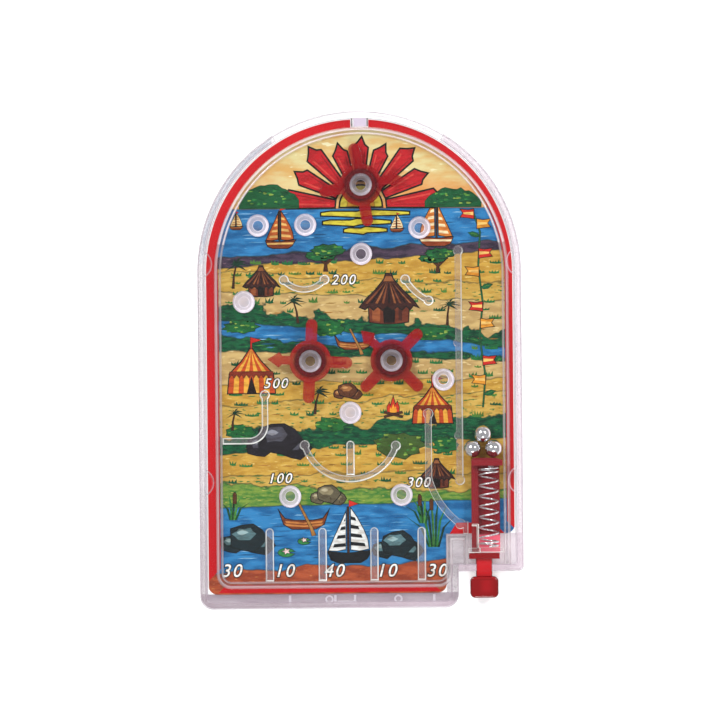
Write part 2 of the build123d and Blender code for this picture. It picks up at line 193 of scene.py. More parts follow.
class Board:
    """The node tree of one material, with helpers that add nodes."""

    def __init__(self, name: str) -> None:
        """Start a material whose surface is one Principled shader.

        Args:
            name: The material's name.
        """
        self.material = bpy.data.materials.new(name)
        self.material.use_nodes = True
        self.tree = self.material.node_tree
        self.shader = self.tree.nodes["Principled BSDF"]
        self.places = self.tree.nodes.new("ShaderNodeTexCoord")

    def add(self, kind: str, settings: dict[str, Any], inputs: dict[Any, Any]) -> bpy.types.Node:
        """Add a node of any kind.

        Args:
            kind: The node's type.
            settings: Properties that are set first.
            inputs: Values or links of its sockets, by name or number.

        Returns:
            The new node.
        """
        node = self.tree.nodes.new(kind)
        for name, value in settings.items():
            setattr(node, name, value)
        self.plug(node, inputs)
        return node

    def plug(self, node: bpy.types.Node, inputs: dict[Any, Any]) -> None:
        """Give a node's sockets their values or links.

        Args:
            node: The node.
            inputs: Values or links by socket name or number.
        """
        for name, value in inputs.items():
            if isinstance(value, Signal):
                value = value.socket
            if isinstance(value, bpy.types.NodeSocket):
                self.tree.links.new(value, node.inputs[name])
            else:
                node.inputs[name].default_value = value

    def number(self, kind: str, settings: dict[str, Any], inputs: dict[Any, Any]) -> Signal:
        """Add a node and give its first output as a number."""
        return Signal(self, self.add(kind, settings, inputs).outputs[0])

    def axis(self, name: str) -> Signal:
        """One coordinate of the piece in millimetres: X, Y or Z."""
        split = self.add("ShaderNodeSeparateXYZ", {}, {0: self.places.outputs["Object"]})
        return Signal(self, split.outputs[name]) / MM

    def plane(self) -> tuple[Signal, Signal]:
        """X and Y of the piece in millimetres."""
        return self.axis("X"), self.axis("Y")

    def upturn(self) -> Signal:
        """How far each face turns up: the Z of its own normal."""
        split = self.add("ShaderNodeSeparateXYZ", {}, {0: self.places.outputs["Normal"]})
        return Signal(self, split.outputs["Z"])

    def slant(self) -> Signal:
        """How far each face is seen edge on, from 0 to 1."""
        return Signal(self, self.add("ShaderNodeLayerWeight", {}, {"Blend": 0.5}).outputs["Facing"])

    def relief(self, height: Signal, strength: float, depth: float) -> bpy.types.NodeSocket:
        """Faint waves in the surface that follow a height."""
        inputs = {"Strength": strength, "Distance": depth, "Height": height}
        return self.add("ShaderNodeBump", {}, inputs).outputs[0]

    def grain(self, size: float, stretch: Sequence[float] = (1, 1, 1), detail: float = 2.0,
              shift: float = 0.0) -> Signal:
        """Noise between 0 and 1.

        Args:
            size: The size of its blots in millimetres.
            stretch: How much longer the blots are along each axis.
            detail: The number of finer layers.
            shift: Moves the pattern, to tell two noises apart.

        Returns:
            The noise.
        """
        scale = [1 / (MM * size * part) for part in stretch]
        settings = {"vector_type": "POINT"}
        inputs = {"Vector": self.places.outputs["Object"], "Scale": scale, "Location": (shift, shift, shift)}
        moved = self.add("ShaderNodeMapping", settings, inputs)
        inputs = {"Vector": moved.outputs[0], "Scale": 1.0, "Detail": detail}
        return self.number("ShaderNodeTexNoise", {}, inputs)

    def blend(self, factor: Signal | float, first: Any, second: Any) -> bpy.types.NodeSocket:
        """Mix two colours.

        Args:
            factor: How much of the second colour shows.
            first: A colour or a colour socket.
            second: A colour or a colour socket.

        Returns:
            The mixed colour's socket.
        """
        settings = {"data_type": "RGBA", "clamp_factor": True}
        node = self.add("ShaderNodeMix", settings, {0: factor, 6: first, 7: second})
        return node.outputs[2]

    def dress(self, values: dict[str, Any]) -> bpy.types.Material:
        """Give sockets of the shader their values or links, by name, and finish the material."""
        self.plug(self.shader, values)
        return self.material


@dataclass(frozen=True)
class CaseOutline:
    """The arched outline of the case, from which other outlines keep a distance.

    Attributes:
        half_width: Half the width of the case in millimetres.
        arch_y: Where the arch springs from.
        low: The lower edge.
        step_x: Where the step beside the plunger begins.
        step_y: The lower edge beyond the step.
    """

    half_width: float = 46.0
    arch_y: float = 24.75
    low: float = -70.75
    step_x: float = 27.45
    step_y: float = -60.5

    def side_depth(self, board: Board) -> Signal:
        """How far a point lies inside the sides and the arch, in millimetres."""
        rise = (board.axis("Y") - self.arch_y).at_least(0.0)
        return self.half_width - board.axis("X").span(rise)

    def depth(self, board: Board) -> Signal:
        """How far a point lies inside the whole outline, in millimetres.

        Args:
            board: The node tree.

        Returns:
            The depth.
        """
        y = board.axis("Y")
        lift = (board.axis("X") > self.step_x) * (self.step_y - self.low)
        return self.side_depth(board).at_most(y - self.low - lift)

    def measure(self, spot: Vector) -> float:
        """How far a point, in millimetres, lies inside the outline."""
        low = self.step_y if spot.x > self.step_x else self.low
        return min(self.half_width - math.hypot(spot.x, max(spot.y - self.arch_y, 0.0)), spot.y - low)


@dataclass(frozen=True)
class ClearPlastic:
    """Clear moulded plastic: see-through where it is flat, and white where it turns away.

    Attributes:
        tint: The colour of its bright edges.
        grey: The colour of its faint haze.
        body: How much of the haze a flat face shows.
        edge: How much of it shows where the surface is seen edge on.
        glow: How strongly the milky parts glow with a painted light of their own, in place of light scattered in
            the plastic.
        vary: How much the haze changes from place to place.
    """

    tint: str = "#fbf7fb"
    grey: str = "#b9b0b5"
    body: float = 0.004
    edge: float = 0.45
    glow: float = 0.0
    vary: float = 0.3

    def milk(self, board: Board) -> tuple[Signal, bpy.types.NodeSocket]:
        """How milky the plastic is at each point, and in what colour.

        Args:
            board: The node tree.

        Returns:
            The amount, from 0 to 1, and the colour.
        """
        marks = board.add("ShaderNodeAttribute", {"attribute_name": HAZE}, {})
        haze = Signal(board, marks.outputs["Fac"])
        return haze, board.blend(haze.ramp(0.3, 0.6), ink(self.grey), ink(self.tint))

    def material(self, name: str) -> bpy.types.Material:
        """Build the material.

        Args:
            name: Its name.

        Returns:
            The material.
        """
        board = Board(name)
        milk, colour = self.milk(board)
        flow = board.grain(9.0, (1, 1, 0.4), 3.0)
        glare = board.slant().ramp(0.5, 1.0, self.body, self.edge)
        wear = board.grain(0.35, (1, 1, 1), 3.0, 4.0)
        return board.dress({
            "Base Color": board.blend(milk.ramp(0.1, 0.2), ink(self.tint), colour),
            "Roughness": wear.ramp(0.3, 0.8, 0.06, 0.16),
            "Alpha": glare.at_least(milk * (flow * self.vary + (1.0 - self.vary / 2))).at_most(1.0),
            # Painted glow: the milkiest parts give light of their own.
            "Emission Color": board.blend(milk.ramp(0.5, 0.9), ink(BLACK), ink(self.tint)),
            "Emission Strength": self.glow,
            "Normal": board.relief(flow, 0.04, 0.05 * MM),
            "IOR": ACRYLIC,
        })


@dataclass(frozen=True)
class ShellPlastic(ClearPlastic):
    """The plastic of the case, whose rounded rims show as fine lines.

    Attributes:
        line: The colour of the rims.
        light: The colour of the painted glints on the tops in the strip below the card.
        stem_x: Where the plunger's stem lies.
        stem_half: Half the width of the clear window over the stem.
        stem_high: The window's upper side.
    """

    line: str = "#a494a1"
    light: str = "#c4bac6"
    stem_x: float = 34.75
    stem_half: float = 2.2
    stem_high: float = -57.0

    def with_rims(self, board: Board, milk: Signal, colour: bpy.types.NodeSocket,
                  ) -> tuple[Signal, bpy.types.NodeSocket]:
        """Add the rims to what the part's upper faces show, and keep both clear over the stem.

        Args:
            board: The node tree.
            milk: How milky the upper faces are.
            colour: Their colour.

        Returns:
            The amount, from 0 to 1, and the colour.
        """
        haze = super().milk(board)[0]
        # Faces with a haze over 0.7, the tops in the strip, take the painted glint colour.
        rims = board.blend(haze > 0.7, ink(self.line), ink(self.light))
        over = abs(board.axis("X") - self.stem_x) < self.stem_half
        clear = 1.0 - over * (board.axis("Y") < self.stem_high)
        milk = (milk * (board.upturn() > 0.5)).at_least(haze) * clear
        return milk, board.blend(haze > 0.1, colour, rims)


@dataclass(frozen=True)
class TrayPlastic(ShellPlastic):
    """The tray's plastic, greyer in the strip below the card, as painted shade, and in the block beside the
    plunger.

    Attributes:
        strip_high: The upper side of the strip.
        step_x: The right end of the strip.
        block_left: The left side of the block.
        block_high: The upper side of the block.
        block_turn: Where the block turns paler.
        pale: The colour of the block right of the plunger.
    """

    strip_high: float = -66.75
    step_x: float = 27.4
    block_left: float = 24.25
    block_high: float = -49.95
    block_turn: float = 30.5
    pale: str = "#cdb8c8"

    def milk(self, board: Board) -> tuple[Signal, bpy.types.NodeSocket]:
        """How milky the tray is at each point, and in what colour.

        Args:
            board: The node tree.

        Returns:
            The amount, from 0 to 1, and the colour.
        """
        x, y = board.plane()
        inside = CaseOutline().depth(board)
        streaks = board.grain(5.0, (2.0, 0.35, 1.0), 3.0, 7.0)
        # Painted shade: the strip below the card is greyer, in uneven streaks.
        strip = (y < self.strip_high) * (x < self.step_x) * streaks.ramp(0.3, 0.7, 0.6, 0.78)
        block = (y < self.block_high) * (x > self.block_left)
        near = block * (x < self.block_turn) * streaks.ramp(0.3, 0.7, 0.34, 0.46)
        far = block * (x > self.block_turn) * 0.34
        # Painted shade: the left rim turns greyer towards the bottom.
        rim = inside.ramp(1.9, 2.2, 1.0, 0.0) * y.ramp(-66.0, -10.0, 0.3, 0.0) * (x < 0.0)
        milk = strip.at_least(near).at_least(far).at_least(rim)
        return self.with_rims(board, milk, board.blend(x > self.block_turn, ink(self.grey), ink(self.pale)))


@dataclass(frozen=True)
class CoverPlastic(ShellPlastic):
    """The cover's plastic, with a milky bead, block and half-round ribs.

    Attributes:
        ribs: The heights of the ribs beside the track wall.
        rib_radius: The radius of a rib's bright line.
        notch: Where the bead stops at the top: half its width, and its lower side.
        arch_x: The right end of the bead's cool upper left part.
        arch_y: Where that part fades in upwards.
        block: The middle of the block at the top, and half its size.
        cool: The colour of the bead's upper left part.
        pale: The colour of the bead's right side, painted paler where the light falls.
        block_ink: The colour of the block's face, and the dark colour of its sides, which is painted shade.
    """

    ribs: tuple[float, ...] = (27.4, -34.7)
    rib_radius: float = 4.05
    notch: Point = (24.4, 50.0)
    arch_x: float = -24.6
    arch_y: Point = (22.0, 34.0)
    block: tuple[float, float, float, float] = (0.6, 67.4, 1.8, 1.15)
    cool: str = "#9c9eae"
    pale: str = "#d3bfcb"
    block_ink: tuple[str, str] = ("#cdbdd2", "#4a3e46")

    def milk(self, board: Board) -> tuple[Signal, bpy.types.NodeSocket]:
        """How milky the cover is at each point, and in what colour.

        Args:
            board: The node tree.

        Returns:
            The amount, from 0 to 1, and the colour.
        """
        x, y = board.plane()
        inside = CaseOutline().depth(board)
        gap = (abs(x) < self.notch[0]) * (y > self.notch[1])
        rim = inside.ramp(1.9, 2.1, 1.0, 0.0) * (0.36 - gap * 0.22)
        groove = abs(inside - 1.2).ramp(0.1, 0.35, 0.2, 0.0) * (x < 0.0)
        arch = (x < self.arch_x) * y.ramp(*self.arch_y) * inside.between(0.5, 1.5) * 0.46
        middle, level, half_wide, half_high = self.block
        beside = abs(y - level) < half_high
        block = (abs(x - middle) < half_wide) * beside * 0.7
        # Painted shade: dark lines along both sides of the block.
        sides = (abs(abs(x - 0.5) - 2.2) < 0.2) * beside * 0.6
        milk = (rim - groove).at_least(arch).at_least(block).at_least(sides)
        side = CaseOutline().half_width - abs(x)
        for rise in self.ribs:
            line = abs(side.span(y - rise) - self.rib_radius)
            milk = milk.at_least(line.ramp(0.06, 0.28, 0.34, 0.0))
        # Painted light and shade: the milky parts are greyer on the left and paler on the right.
        colour = board.blend(x.ramp(-30.0, 30.0), ink(self.grey), ink(self.pale))
        colour = board.blend(arch > 0.2, colour, ink(self.cool))
        colour = board.blend(block > 0.5, colour, ink(self.block_ink[0]))
        return self.with_rims(board, milk, board.blend(sides > 0.5, colour, ink(self.block_ink[1])))


@dataclass(frozen=True)
class Paint:
    """Two shades of one poster colour, laid on in strokes.

    Attributes:
        dark: The darker shade.
        light: The lighter shade.
        speck: A third colour that shows in thin strokes.
        amount: How much of the third colour there is, from 0 to 1.
        stroke: The length of a stroke in millimetres.
    """

    dark: str
    light: str
    speck: str
    amount: float = 0.3
    stroke: float = 4.0

    def spread(self, board: Board, seed: float) -> bpy.types.NodeSocket:
        """Lay the colour on.

        Args:
            board: The node tree.
            seed: Moves the pattern.

        Returns:
            The colour's socket.
        """
        wash = board.grain(self.stroke, (1.0, 0.3, 1.0), 4.0, seed).ramp(0.36, 0.64)
        mixed = board.blend(wash, ink(self.dark), ink(self.light))
        flecks = board.grain(self.stroke * 0.45, (1.3, 0.35, 1.0), 3.0, seed + 5.0)
        limit = 0.72 - 0.3 * self.amount
        return board.blend(flecks.ramp(limit, limit + 0.05), mixed, ink(self.speck))


class Ground(Enum):
    """The paints of the landscape."""

    SKY = Paint("#d3a862", "#d8cb92", "#e6dfb2", 0.3, 9.0)
    WOOD = Paint("#053624", "#0f5c36", "#3f8a36", 0.26, 2.6)
    LAKE = Paint("#175a8e", "#2f7db4", "#5c9dca", 0.12, 6.0)
    SAND = Paint("#b0905a", "#c9ab6e", "#dcc48c", 0.3, 5.0)
    GOLD = Paint("#b08430", "#c9a044", "#d9bb68", 0.3, 4.0)
    MEADOW = Paint("#b58f3c", "#c9a652", "#1f6a34", 0.4, 3.6)
    BANK = Paint("#3c7430", "#7a953c", "#b0a850", 0.3, 3.0)
    EARTH = Paint("#8a3a22", "#ad5230", "#cc8048", 0.25, 4.0)
    PLUM = Paint("#2c2434", "#4a3a4c", "#6d5460", 0.2, 4.0)


@dataclass(frozen=True)
class Band:
    """One stretch of the landscape, which covers all below its upper edge.

    Attributes:
        ground: Its paint.
        level: The height of its upper edge on the card in millimetres.
        tilt: How much that edge rises to the right.
        wobble: How far the edge wanders.
        size: The length of its waves.
    """

    ground: Ground
    level: float
    tilt: float = 0.0
    wobble: float = 1.0
    size: float = 8.0


@dataclass(frozen=True)
class CardPrint:
    """The printed card: a painted landscape inside a red border, with a white back.

    Attributes:
        bands: The stretches of the landscape from the top down.
        red: The border's colour.
        margin: The gap between the case's outline and the card's edge in millimetres.
        border: The width of the border along the sides.
        side_cuts: The slanted lower ends of the side borders, left and right.
        foot: The heights of the border below the picture.
        foot_cuts: Its slanted ends, left and right.
        lane: The heights of the border below the launch lane.
        lane_cuts: Its slanted ends, left and right.
        lane_slope: How steep the left one is.
    """

    bands: tuple[Band, ...] = (
        Band(Ground.LAKE, 43.0, 0.0, 0.3, 20.0),
        Band(Ground.PLUM, 31.6, 0.05, 3.4, 14.0),
        Band(Ground.GOLD, 28.4, 0.05, 2.0, 9.0),
        Band(Ground.MEADOW, 23.0, -0.05, 3.0, 8.0),
        Band(Ground.SAND, 18.0, -0.04, 2.0, 8.0),
        Band(Ground.WOOD, 11.6, -0.11, 5.5, 6.0),
        Band(Ground.LAKE, 7.4, -0.1, 2.2, 13.0),
        Band(Ground.WOOD, 3.6, -0.08, 2.4, 5.0),
        Band(Ground.SAND, 1.0, -0.04, 2.0, 8.0),
        Band(Ground.GOLD, -6.0, 0.03, 2.6, 9.0),
        Band(Ground.MEADOW, -11.5, 0.05, 3.0, 9.0),
        Band(Ground.WOOD, -18.5, 0.06, 5.5, 6.0),
        Band(Ground.GOLD, -24.5, 0.05, 2.6, 9.0),
        Band(Ground.MEADOW, -32.5, 0.0, 2.4, 9.0),
        Band(Ground.BANK, -36.5, -0.03, 2.6, 6.0),
        Band(Ground.LAKE, -41.2, 0.02, 1.2, 16.0),
        Band(Ground.EARTH, -58.2, 0.06, 2.4, 12.0),
    )
    red: str = "#c40e18"
    margin: float = 2.2
    border: float = 2.7
    side_cuts: Point = (-19.2, -5.0)
    foot: Point = (-66.4, -64.2)
    foot_cuts: Point = (-25.4, -43.8)
    lane: Point = (-50.5, -46.9)
    lane_cuts: Point = (56.2, -9.2)
    lane_slope: float = 0.62

    def landscape(self, board: Board) -> bpy.types.NodeSocket:
        """Paint the bands over each other.

        Args:
            board: The node tree.

        Returns:
            The colour's socket.
        """
        x, y = board.plane()
        dusk = board.grain(14.0, (2.0, 0.5, 1.0), 3.0, 0.9).ramp(0.3, 0.7) * y.ramp(44.0, 56.0, 1.0, 0.0)
        picture = board.blend(dusk, Ground.SKY.value.spread(board, 0.3), ink("#d8853f"))
        for number, band in enumerate(self.bands):
            seed = 1.7 * number + 2.0
            wave = board.grain(band.size, (1.0, 1.0, 1.0), 3.0, seed)
            depth = (x * band.tilt + band.level) + (wave - 0.5) * (2 * band.wobble) - y
            paint = band.ground.value.spread(board, seed + 0.4)
            picture = board.blend(depth.ramp(-0.12, 0.12), picture, paint)
            line = abs(depth).ramp(0.1, 0.3, 0.55, 0.0)
            picture = board.blend(line, picture, ink("#173226"))
        return picture

    def border_mask(self, board: Board) -> Signal:
        """One where the red border lies.

        Args:
            board: The node tree.

        Returns:
            The mask.
        """
        x, y = board.plane()
        wide = x.ramp(-1.0, 1.0, 0.9, -0.4) * y.ramp(20.0, 40.0, 1.0, 0.0)
        side = CaseOutline().side_depth(board) < wide + (self.margin + self.border)
        left = (x < 0.0) * (y - x > self.side_cuts[0])
        right = (x > 0.0) * (y + x > self.side_cuts[1])
        foot = y.between(*self.foot) * (y - x < self.foot_cuts[0]) * (x + y < self.foot_cuts[1])
        lane = y.between(*self.lane) * (x - y * self.lane_slope > self.lane_cuts[0])
        lane = lane * (x + y < self.lane_cuts[1])
        return (side * (left + right)).at_least(foot).at_least(lane)

    def material(self) -> bpy.types.Material:
        """Build the material.

        Returns:
            The material.
        """
        board = Board("printed_card")
        edge = CaseOutline().side_depth(board) < self.margin + 0.12
        slip = board.grain(30.0).ramp(0.3, 0.7)
        red = board.blend(slip, ink(self.red), ink("#b50d16"))
        face = board.blend(self.border_mask(board), self.landscape(board), red)
        face = board.blend(edge, face, ink("#f4eeee"))
        top = board.upturn() > 0.5
        fibre = board.blend(board.grain(0.6, (1, 3, 1), 3.0), ink("#e9e4dc"), ink("#f6f2ea"))
        return board.dress({
            "Base Color": board.blend(top, fibre, face),
            "Roughness": board.grain(1.5).ramp(0.3, 0.7, 0.38, 0.5),
            "Specular IOR Level": 0.25,
        })


@dataclass(frozen=True)
class PrintInk:
    """Printing ink whose colour each shape carries, with a light brush grain."""

    def material(self) -> bpy.types.Material:
        """Build the material.

        Returns:
            The material.
        """
        board = Board("print_ink")
        own = board.add("ShaderNodeAttribute", {"attribute_name": INK}, {}).outputs["Color"]
        shade = board.add("ShaderNodeMix", {"data_type": "RGBA", "blend_type": "MULTIPLY"},
                          {0: 1.0, 6: own, 7: ink("#b9a79a")})
        brush = board.grain(1.6, (1.6, 0.5, 1.0), 4.0, 3.0).ramp(0.42, 0.66, 0.0, 0.6)
        return board.dress({
            "Base Color": board.blend(brush, own, shade.outputs[2]),
            "Roughness": board.grain(1.5).ramp(0.3, 0.7, 0.38, 0.5),
            "Specular IOR Level": 0.25,
        })


@dataclass(frozen=True)
class SpinnerRed:
    """The spinners' clear red plastic, darker round their posts.

    Attributes:
        colour: The colour of the arms.
        deep: The colour next to the post.
        cloud: The colour that clouds the arms here and there.
        cover: How much of what lies behind each face it hides.
        hub: How far from the axis the darker part starts to fade, in millimetres.
        reach: How far the darker part reaches from the axis.
    """

    colour: str = "#aa0a15"
    deep: str = "#560a0f"
    cloud: str = "#940c16"
    cover: float = 0.56
    hub: float = 4.2
    reach: float = 5.4

    def material(self, name: str, axes: Sequence[Point]) -> bpy.types.Material:
        """Build the material.

        Args:
            name: The material's name.
            axes: Where the spinners turn, in millimetres.

        Returns:
            The material.
        """
        board = Board(name)
        away = [(board.axis("X") - x).span(board.axis("Y") - y) for x, y in axes]
        near = away[0].at_most(away[1]).at_most(away[2])
        flow = board.grain(5.0, (1, 1, 1), 3.0)
        hub = near.ramp(self.hub, self.reach, 1.0, 0.0)
        colour = board.blend(hub, ink(self.colour), ink(self.deep))
        return board.dress({
            "Base Color": board.blend(flow.ramp(0.3, 0.7, 0.0, 0.3), colour, ink(self.cloud)),
            "Roughness": board.grain(0.5).ramp(0.3, 0.8, 0.08, 0.2),
            "Alpha": board.slant().ramp(0.3, 0.9, self.cover, 1.0).at_least(hub * 0.8),
            "Normal": board.relief(flow, 0.06, 0.04 * MM),
        })


@dataclass(frozen=True)
class PlungerRed:
    """The plunger's red plastic: clear in the thin trough and nearly opaque in the thick grip.

    Attributes:
        head: The colour of the head and the trough over the card.
        foot: The colour of the trough's lower end, a paler pink painted for the light of the white floor shining
            through it.
        stem: The colour of the flange and the stem.
        knob: The colour of the knob.
        lit: The colour of the knob's painted highlight down its middle.
        side: The colour of the painted shade on its left and right sides.
        turned: The colour of the painted shade on its rounded edges.
        painted_glow: The faint light of the trough's lower end.
        pale_x: The left side of that lower end.
        pale_y: Where it fades out upwards, in millimetres.
        stem_y: Where the knob's colour gives way to the stem's.
        flange_y: Where the stem's colour gives way to the flange's.
        lit_x: The middle of the knob's painted highlight.
        lit_y: Where that part fades in from below, and out above.
        side_x: How far from the stem's axis the sides' colour begins and is full.
        side_y: Where it fades out upwards.
    """

    head: str = "#8e2128"
    foot: str = "#e2556a"
    stem: str = "#c00e18"
    knob: str = "#860509"
    lit: str = "#9e0a13"
    side: str = "#5a0408"
    turned: str = "#6e080e"
    painted_glow: str = "#f0607a"
    pale_x: float = 33.4
    pale_y: Point = (-50.8, -50.0)
    stem_y: Point = (-63.0, -61.6)
    flange_y: Point = (-57.3, -57.0)
    lit_x: float = 35.4
    lit_y: tuple[Point, Point] = ((-67.5, -65.5), (-63.4, -62.9))
    side_x: Point = (3.0, 4.6)
    side_y: Point = (-62.4, -62.0)

    def material(self, name: str, clear: bool) -> bpy.types.Material:
        """Build one of the two materials.

        Args:
            name: The material's name.
            clear: Whether light passes through, as in the trough.

        Returns:
            The material.
        """
        board = Board(name)
        x, y = board.plane()
        flow = board.grain(5.0, (1, 1, 1), 3.0)
        if clear:
            thin = (x > self.pale_x) * y.ramp(*self.pale_y, 1.0, 0.0)
            # Painted light: the trough's lower end is paler, for the light of the white floor shining through it.
            colour = board.blend(thin, ink(self.head), ink(self.foot))
            hidden = 0.85 - thin * 0.25
            # Painted glow in the trough's lower end.
            glow = board.blend(thin, ink(BLACK), ink(self.painted_glow))
        else:
            colour = board.blend(y.ramp(*self.stem_y), ink(self.knob), ink(self.stem))
            colour = board.blend(y.ramp(*self.flange_y), colour, ink(self.knob))
            # Painted highlight down the knob's middle.
            lit = y.ramp(*self.lit_y[0]) * y.ramp(*self.lit_y[1], 1.0, 0.0)
            lit = abs(x - self.lit_x).ramp(0.3, 2.6, 1.0, 0.0) * lit
            colour = board.blend(lit, colour, ink(self.lit))
            # Painted shade on the knob's left and right sides.
            side = abs(x - ShellPlastic.stem_x).ramp(*self.side_x) * y.ramp(*self.side_y, 1.0, 0.0)
            colour = board.blend(side, colour, ink(self.side))
            # Painted shade on the rounded edges and upright faces.
            turned = abs(board.upturn()).ramp(0.4, 0.98, 1.0, 0.0)
            colour = board.blend(turned, colour, ink(self.turned))
            hidden = 1.0
            glow = ink(BLACK)
        return board.dress({
            "Base Color": board.blend(flow.ramp(0.3, 0.7, 0.0, 0.12), colour, ink(self.knob)),
            "Roughness": board.grain(0.5).ramp(0.3, 0.8, 0.1, 0.24),
            "Alpha": hidden,
            "Emission Color": glow,
            "Emission Strength": 0.4 if clear else 0.0,
            "IOR": ACRYLIC,
            "Normal": board.relief(flow, 0.06, 0.04 * MM),
        })


@dataclass(frozen=True)
class BrightSteel:
    """Polished steel of the balls and drawn steel of the spring.

    Attributes:
        shine: The mean roughness.
        drawn: Whether the surface has fine lines from drawing.
    """

    shine: float
    drawn: bool = False

    def material(self, name: str) -> bpy.types.Material:
        """Build the material.

        Args:
            name: Its name.

        Returns:
            The material.
        """
        board = Board(name)
        grain = board.grain(0.2, (1.0, 6.0, 1.0) if self.drawn else (4.0, 4.0, 4.0), 3.0)
        return board.dress({
            "Base Color": board.blend(grain, ink("#d4d3d6"), ink("#f0eff1")),
            "Metallic": 1.0,
            "Roughness": grain.ramp(0.3, 0.8, self.shine * 0.7, self.shine * 1.4),
        })


def only(*pieces: bpy.types.Object) -> None:
    """Select some pieces and nothing else, with the first one active.

    Args:
        pieces: The pieces to select.
    """
    bpy.ops.object.select_all(action="DESELECT")
    for piece in pieces:
        piece.select_set(True)
    bpy.context.view_layer.objects.active = pieces[0]


def place(name: str, data: bpy.types.ID) -> bpy.types.Object:
    """Put new data into the scene as an object at the origin.

    Args:
        name: The object's name.
        data: Its mesh, curve, lamp or camera.

    Returns:
        The new object.
    """
    piece = bpy.data.objects.new(name, data)
    bpy.context.scene.collection.objects.link(piece)
    return piece


def soften(piece: bpy.types.Object, radius: float, wanted: Callable[[Vector], bool]) -> None:
    """Round some of the sharp edges of a piece.

    Args:
        piece: The piece.
        radius: The width of the rounding in millimetres.
        wanted: Tells from an edge's middle, in millimetres, whether the edge is rounded.
    """
    only(piece)
    bpy.ops.object.mode_set(mode="EDIT")
    bpy.ops.mesh.select_mode(type="EDGE")
    bpy.ops.mesh.select_all(action="DESELECT")
    cage = bmesh.from_edit_mesh(piece.data)
    for edge in cage.edges:
        middle = (edge.verts[0].co + edge.verts[1].co) / 2 / MM
        sharp = len(edge.link_faces) == 2 and edge.calc_face_angle() > SHARP
        edge.select_set(sharp and wanted(middle))
    bmesh.update_edit_mesh(piece.data)
    bpy.ops.mesh.bevel(offset=radius * MM, segments=3, affect="EDGES", clamp_overlap=True)
    bpy.ops.object.mode_set(mode="OBJECT")
    bpy.ops.object.shade_smooth_by_angle(angle=SMOOTH)


def moulded_copy(source: bpy.types.Object, name: str, radius: float,
                 wanted: Callable[[Vector], bool]) -> bpy.types.Object:
    """Copy a CAD piece and round some of its sharp edges.

    Args:
        source: The CAD node's object.
        name: The copy's name.
        radius: The width of the rounding in millimetres.
        wanted: Tells from an edge's middle, in millimetres, whether the edge is rounded.

    Returns:
        The copy.
    """
    piece = place(name, source.data.copy())
    only(piece)
    bpy.ops.object.mode_set(mode="EDIT")
    bpy.ops.mesh.select_all(action="SELECT")
    bpy.ops.mesh.remove_doubles(threshold=WELD)
    bpy.ops.mesh.customdata_custom_splitnormals_clear()
    bpy.ops.mesh.dissolve_limited(angle_limit=FLAT)
    bpy.ops.object.mode_set(mode="OBJECT")
    soften(piece, radius, wanted)
    return piece


def frost(piece: bpy.types.Object, rule: Callable[[Vector, Vector], float]) -> None:
    """Give each face of a clear piece its haze.

    Args:
        piece: The piece.
        rule: Finds the haze from the face's middle, in millimetres, and its normal.
    """
    marks = piece.data.attributes.new(HAZE, "FLOAT", "FACE")
    for face in piece.data.polygons:
        marks.data[face.index].value = rule(face.center / MM, face.normal)


def brightward(way: Vector) -> float:
    """How far a direction points to the lower right, where the clear plastic gets its painted highlights."""
    return TOWARDS_LIGHT[0] * way.x + TOWARDS_LIGHT[1] * way.y


def dress(piece: bpy.types.Object, material: bpy.types.Material) -> None:
    """Give a piece one material all over."""
    piece.data.materials.clear()
    piece.data.materials.append(material)


def report(piece: bpy.types.Object) -> None:
    """Tell that a piece is finished, and how many faces it has."""
    LOG.info("%s: %d faces", piece.name, len(piece.data.polygons))


@dataclass(frozen=True)
class Haze:
    """How milky each side of a clear hanging wall is, with painted highlights on its rounded edges.

    Attributes:
        AXIS: X and the lowest and highest Y of the play space's middle line.
        CROWN: The height from which the wall round it gets a stronger painted highlight.
        flat: The haze of its underside.
        flank: The haze of its upright sides.
        dull: The haze of a rounded edge that faces away from the bright side, with a weaker painted highlight.
        bright: The haze of one that faces it, with a stronger painted highlight.
        ring: Whether the wall runs round the play space, and its outer edge takes the stronger painted highlight.
        edge: The width of the rounding along its lower edges in millimetres.
    """

    AXIS: ClassVar[tuple[float, float, float]] = (0.6, -20.0, 24.2)
    CROWN: ClassVar[float] = 34.0

    flat: float
    flank: float
    dull: float
    bright: float
    ring: bool = False
    edge: float = 0.36

    def find(self, middle: Vector, normal: Vector) -> float:
        """Find the haze of one face.

        Args:
            middle: The face's middle in millimetres.
            normal: The face's normal.

        Returns:
            The haze, from 0 to 1.
        """
        if abs(normal.z) > 0.97:
            return self.flat if normal.z < 0.0 else 0.0
        if abs(normal.z) < 0.1:
            return self.flank
        # Painted highlight: the ring's outer edges, and its edges above the crown, are whiter.
        if self.ring:
            axis = Vector((self.AXIS[0], min(self.AXIS[2], max(self.AXIS[1], middle.y)), middle.z))
            outer = normal.dot(middle - axis) > 0.0
            return (self.bright if outer else self.dull) + 0.2 * (middle.y > self.CROWN)
        # Painted highlight: edges that face the lower right are whiter.
        towards = 0.5 + 0.5 * brightward(normal)
        return self.dull + (self.bright - self.dull) * towards


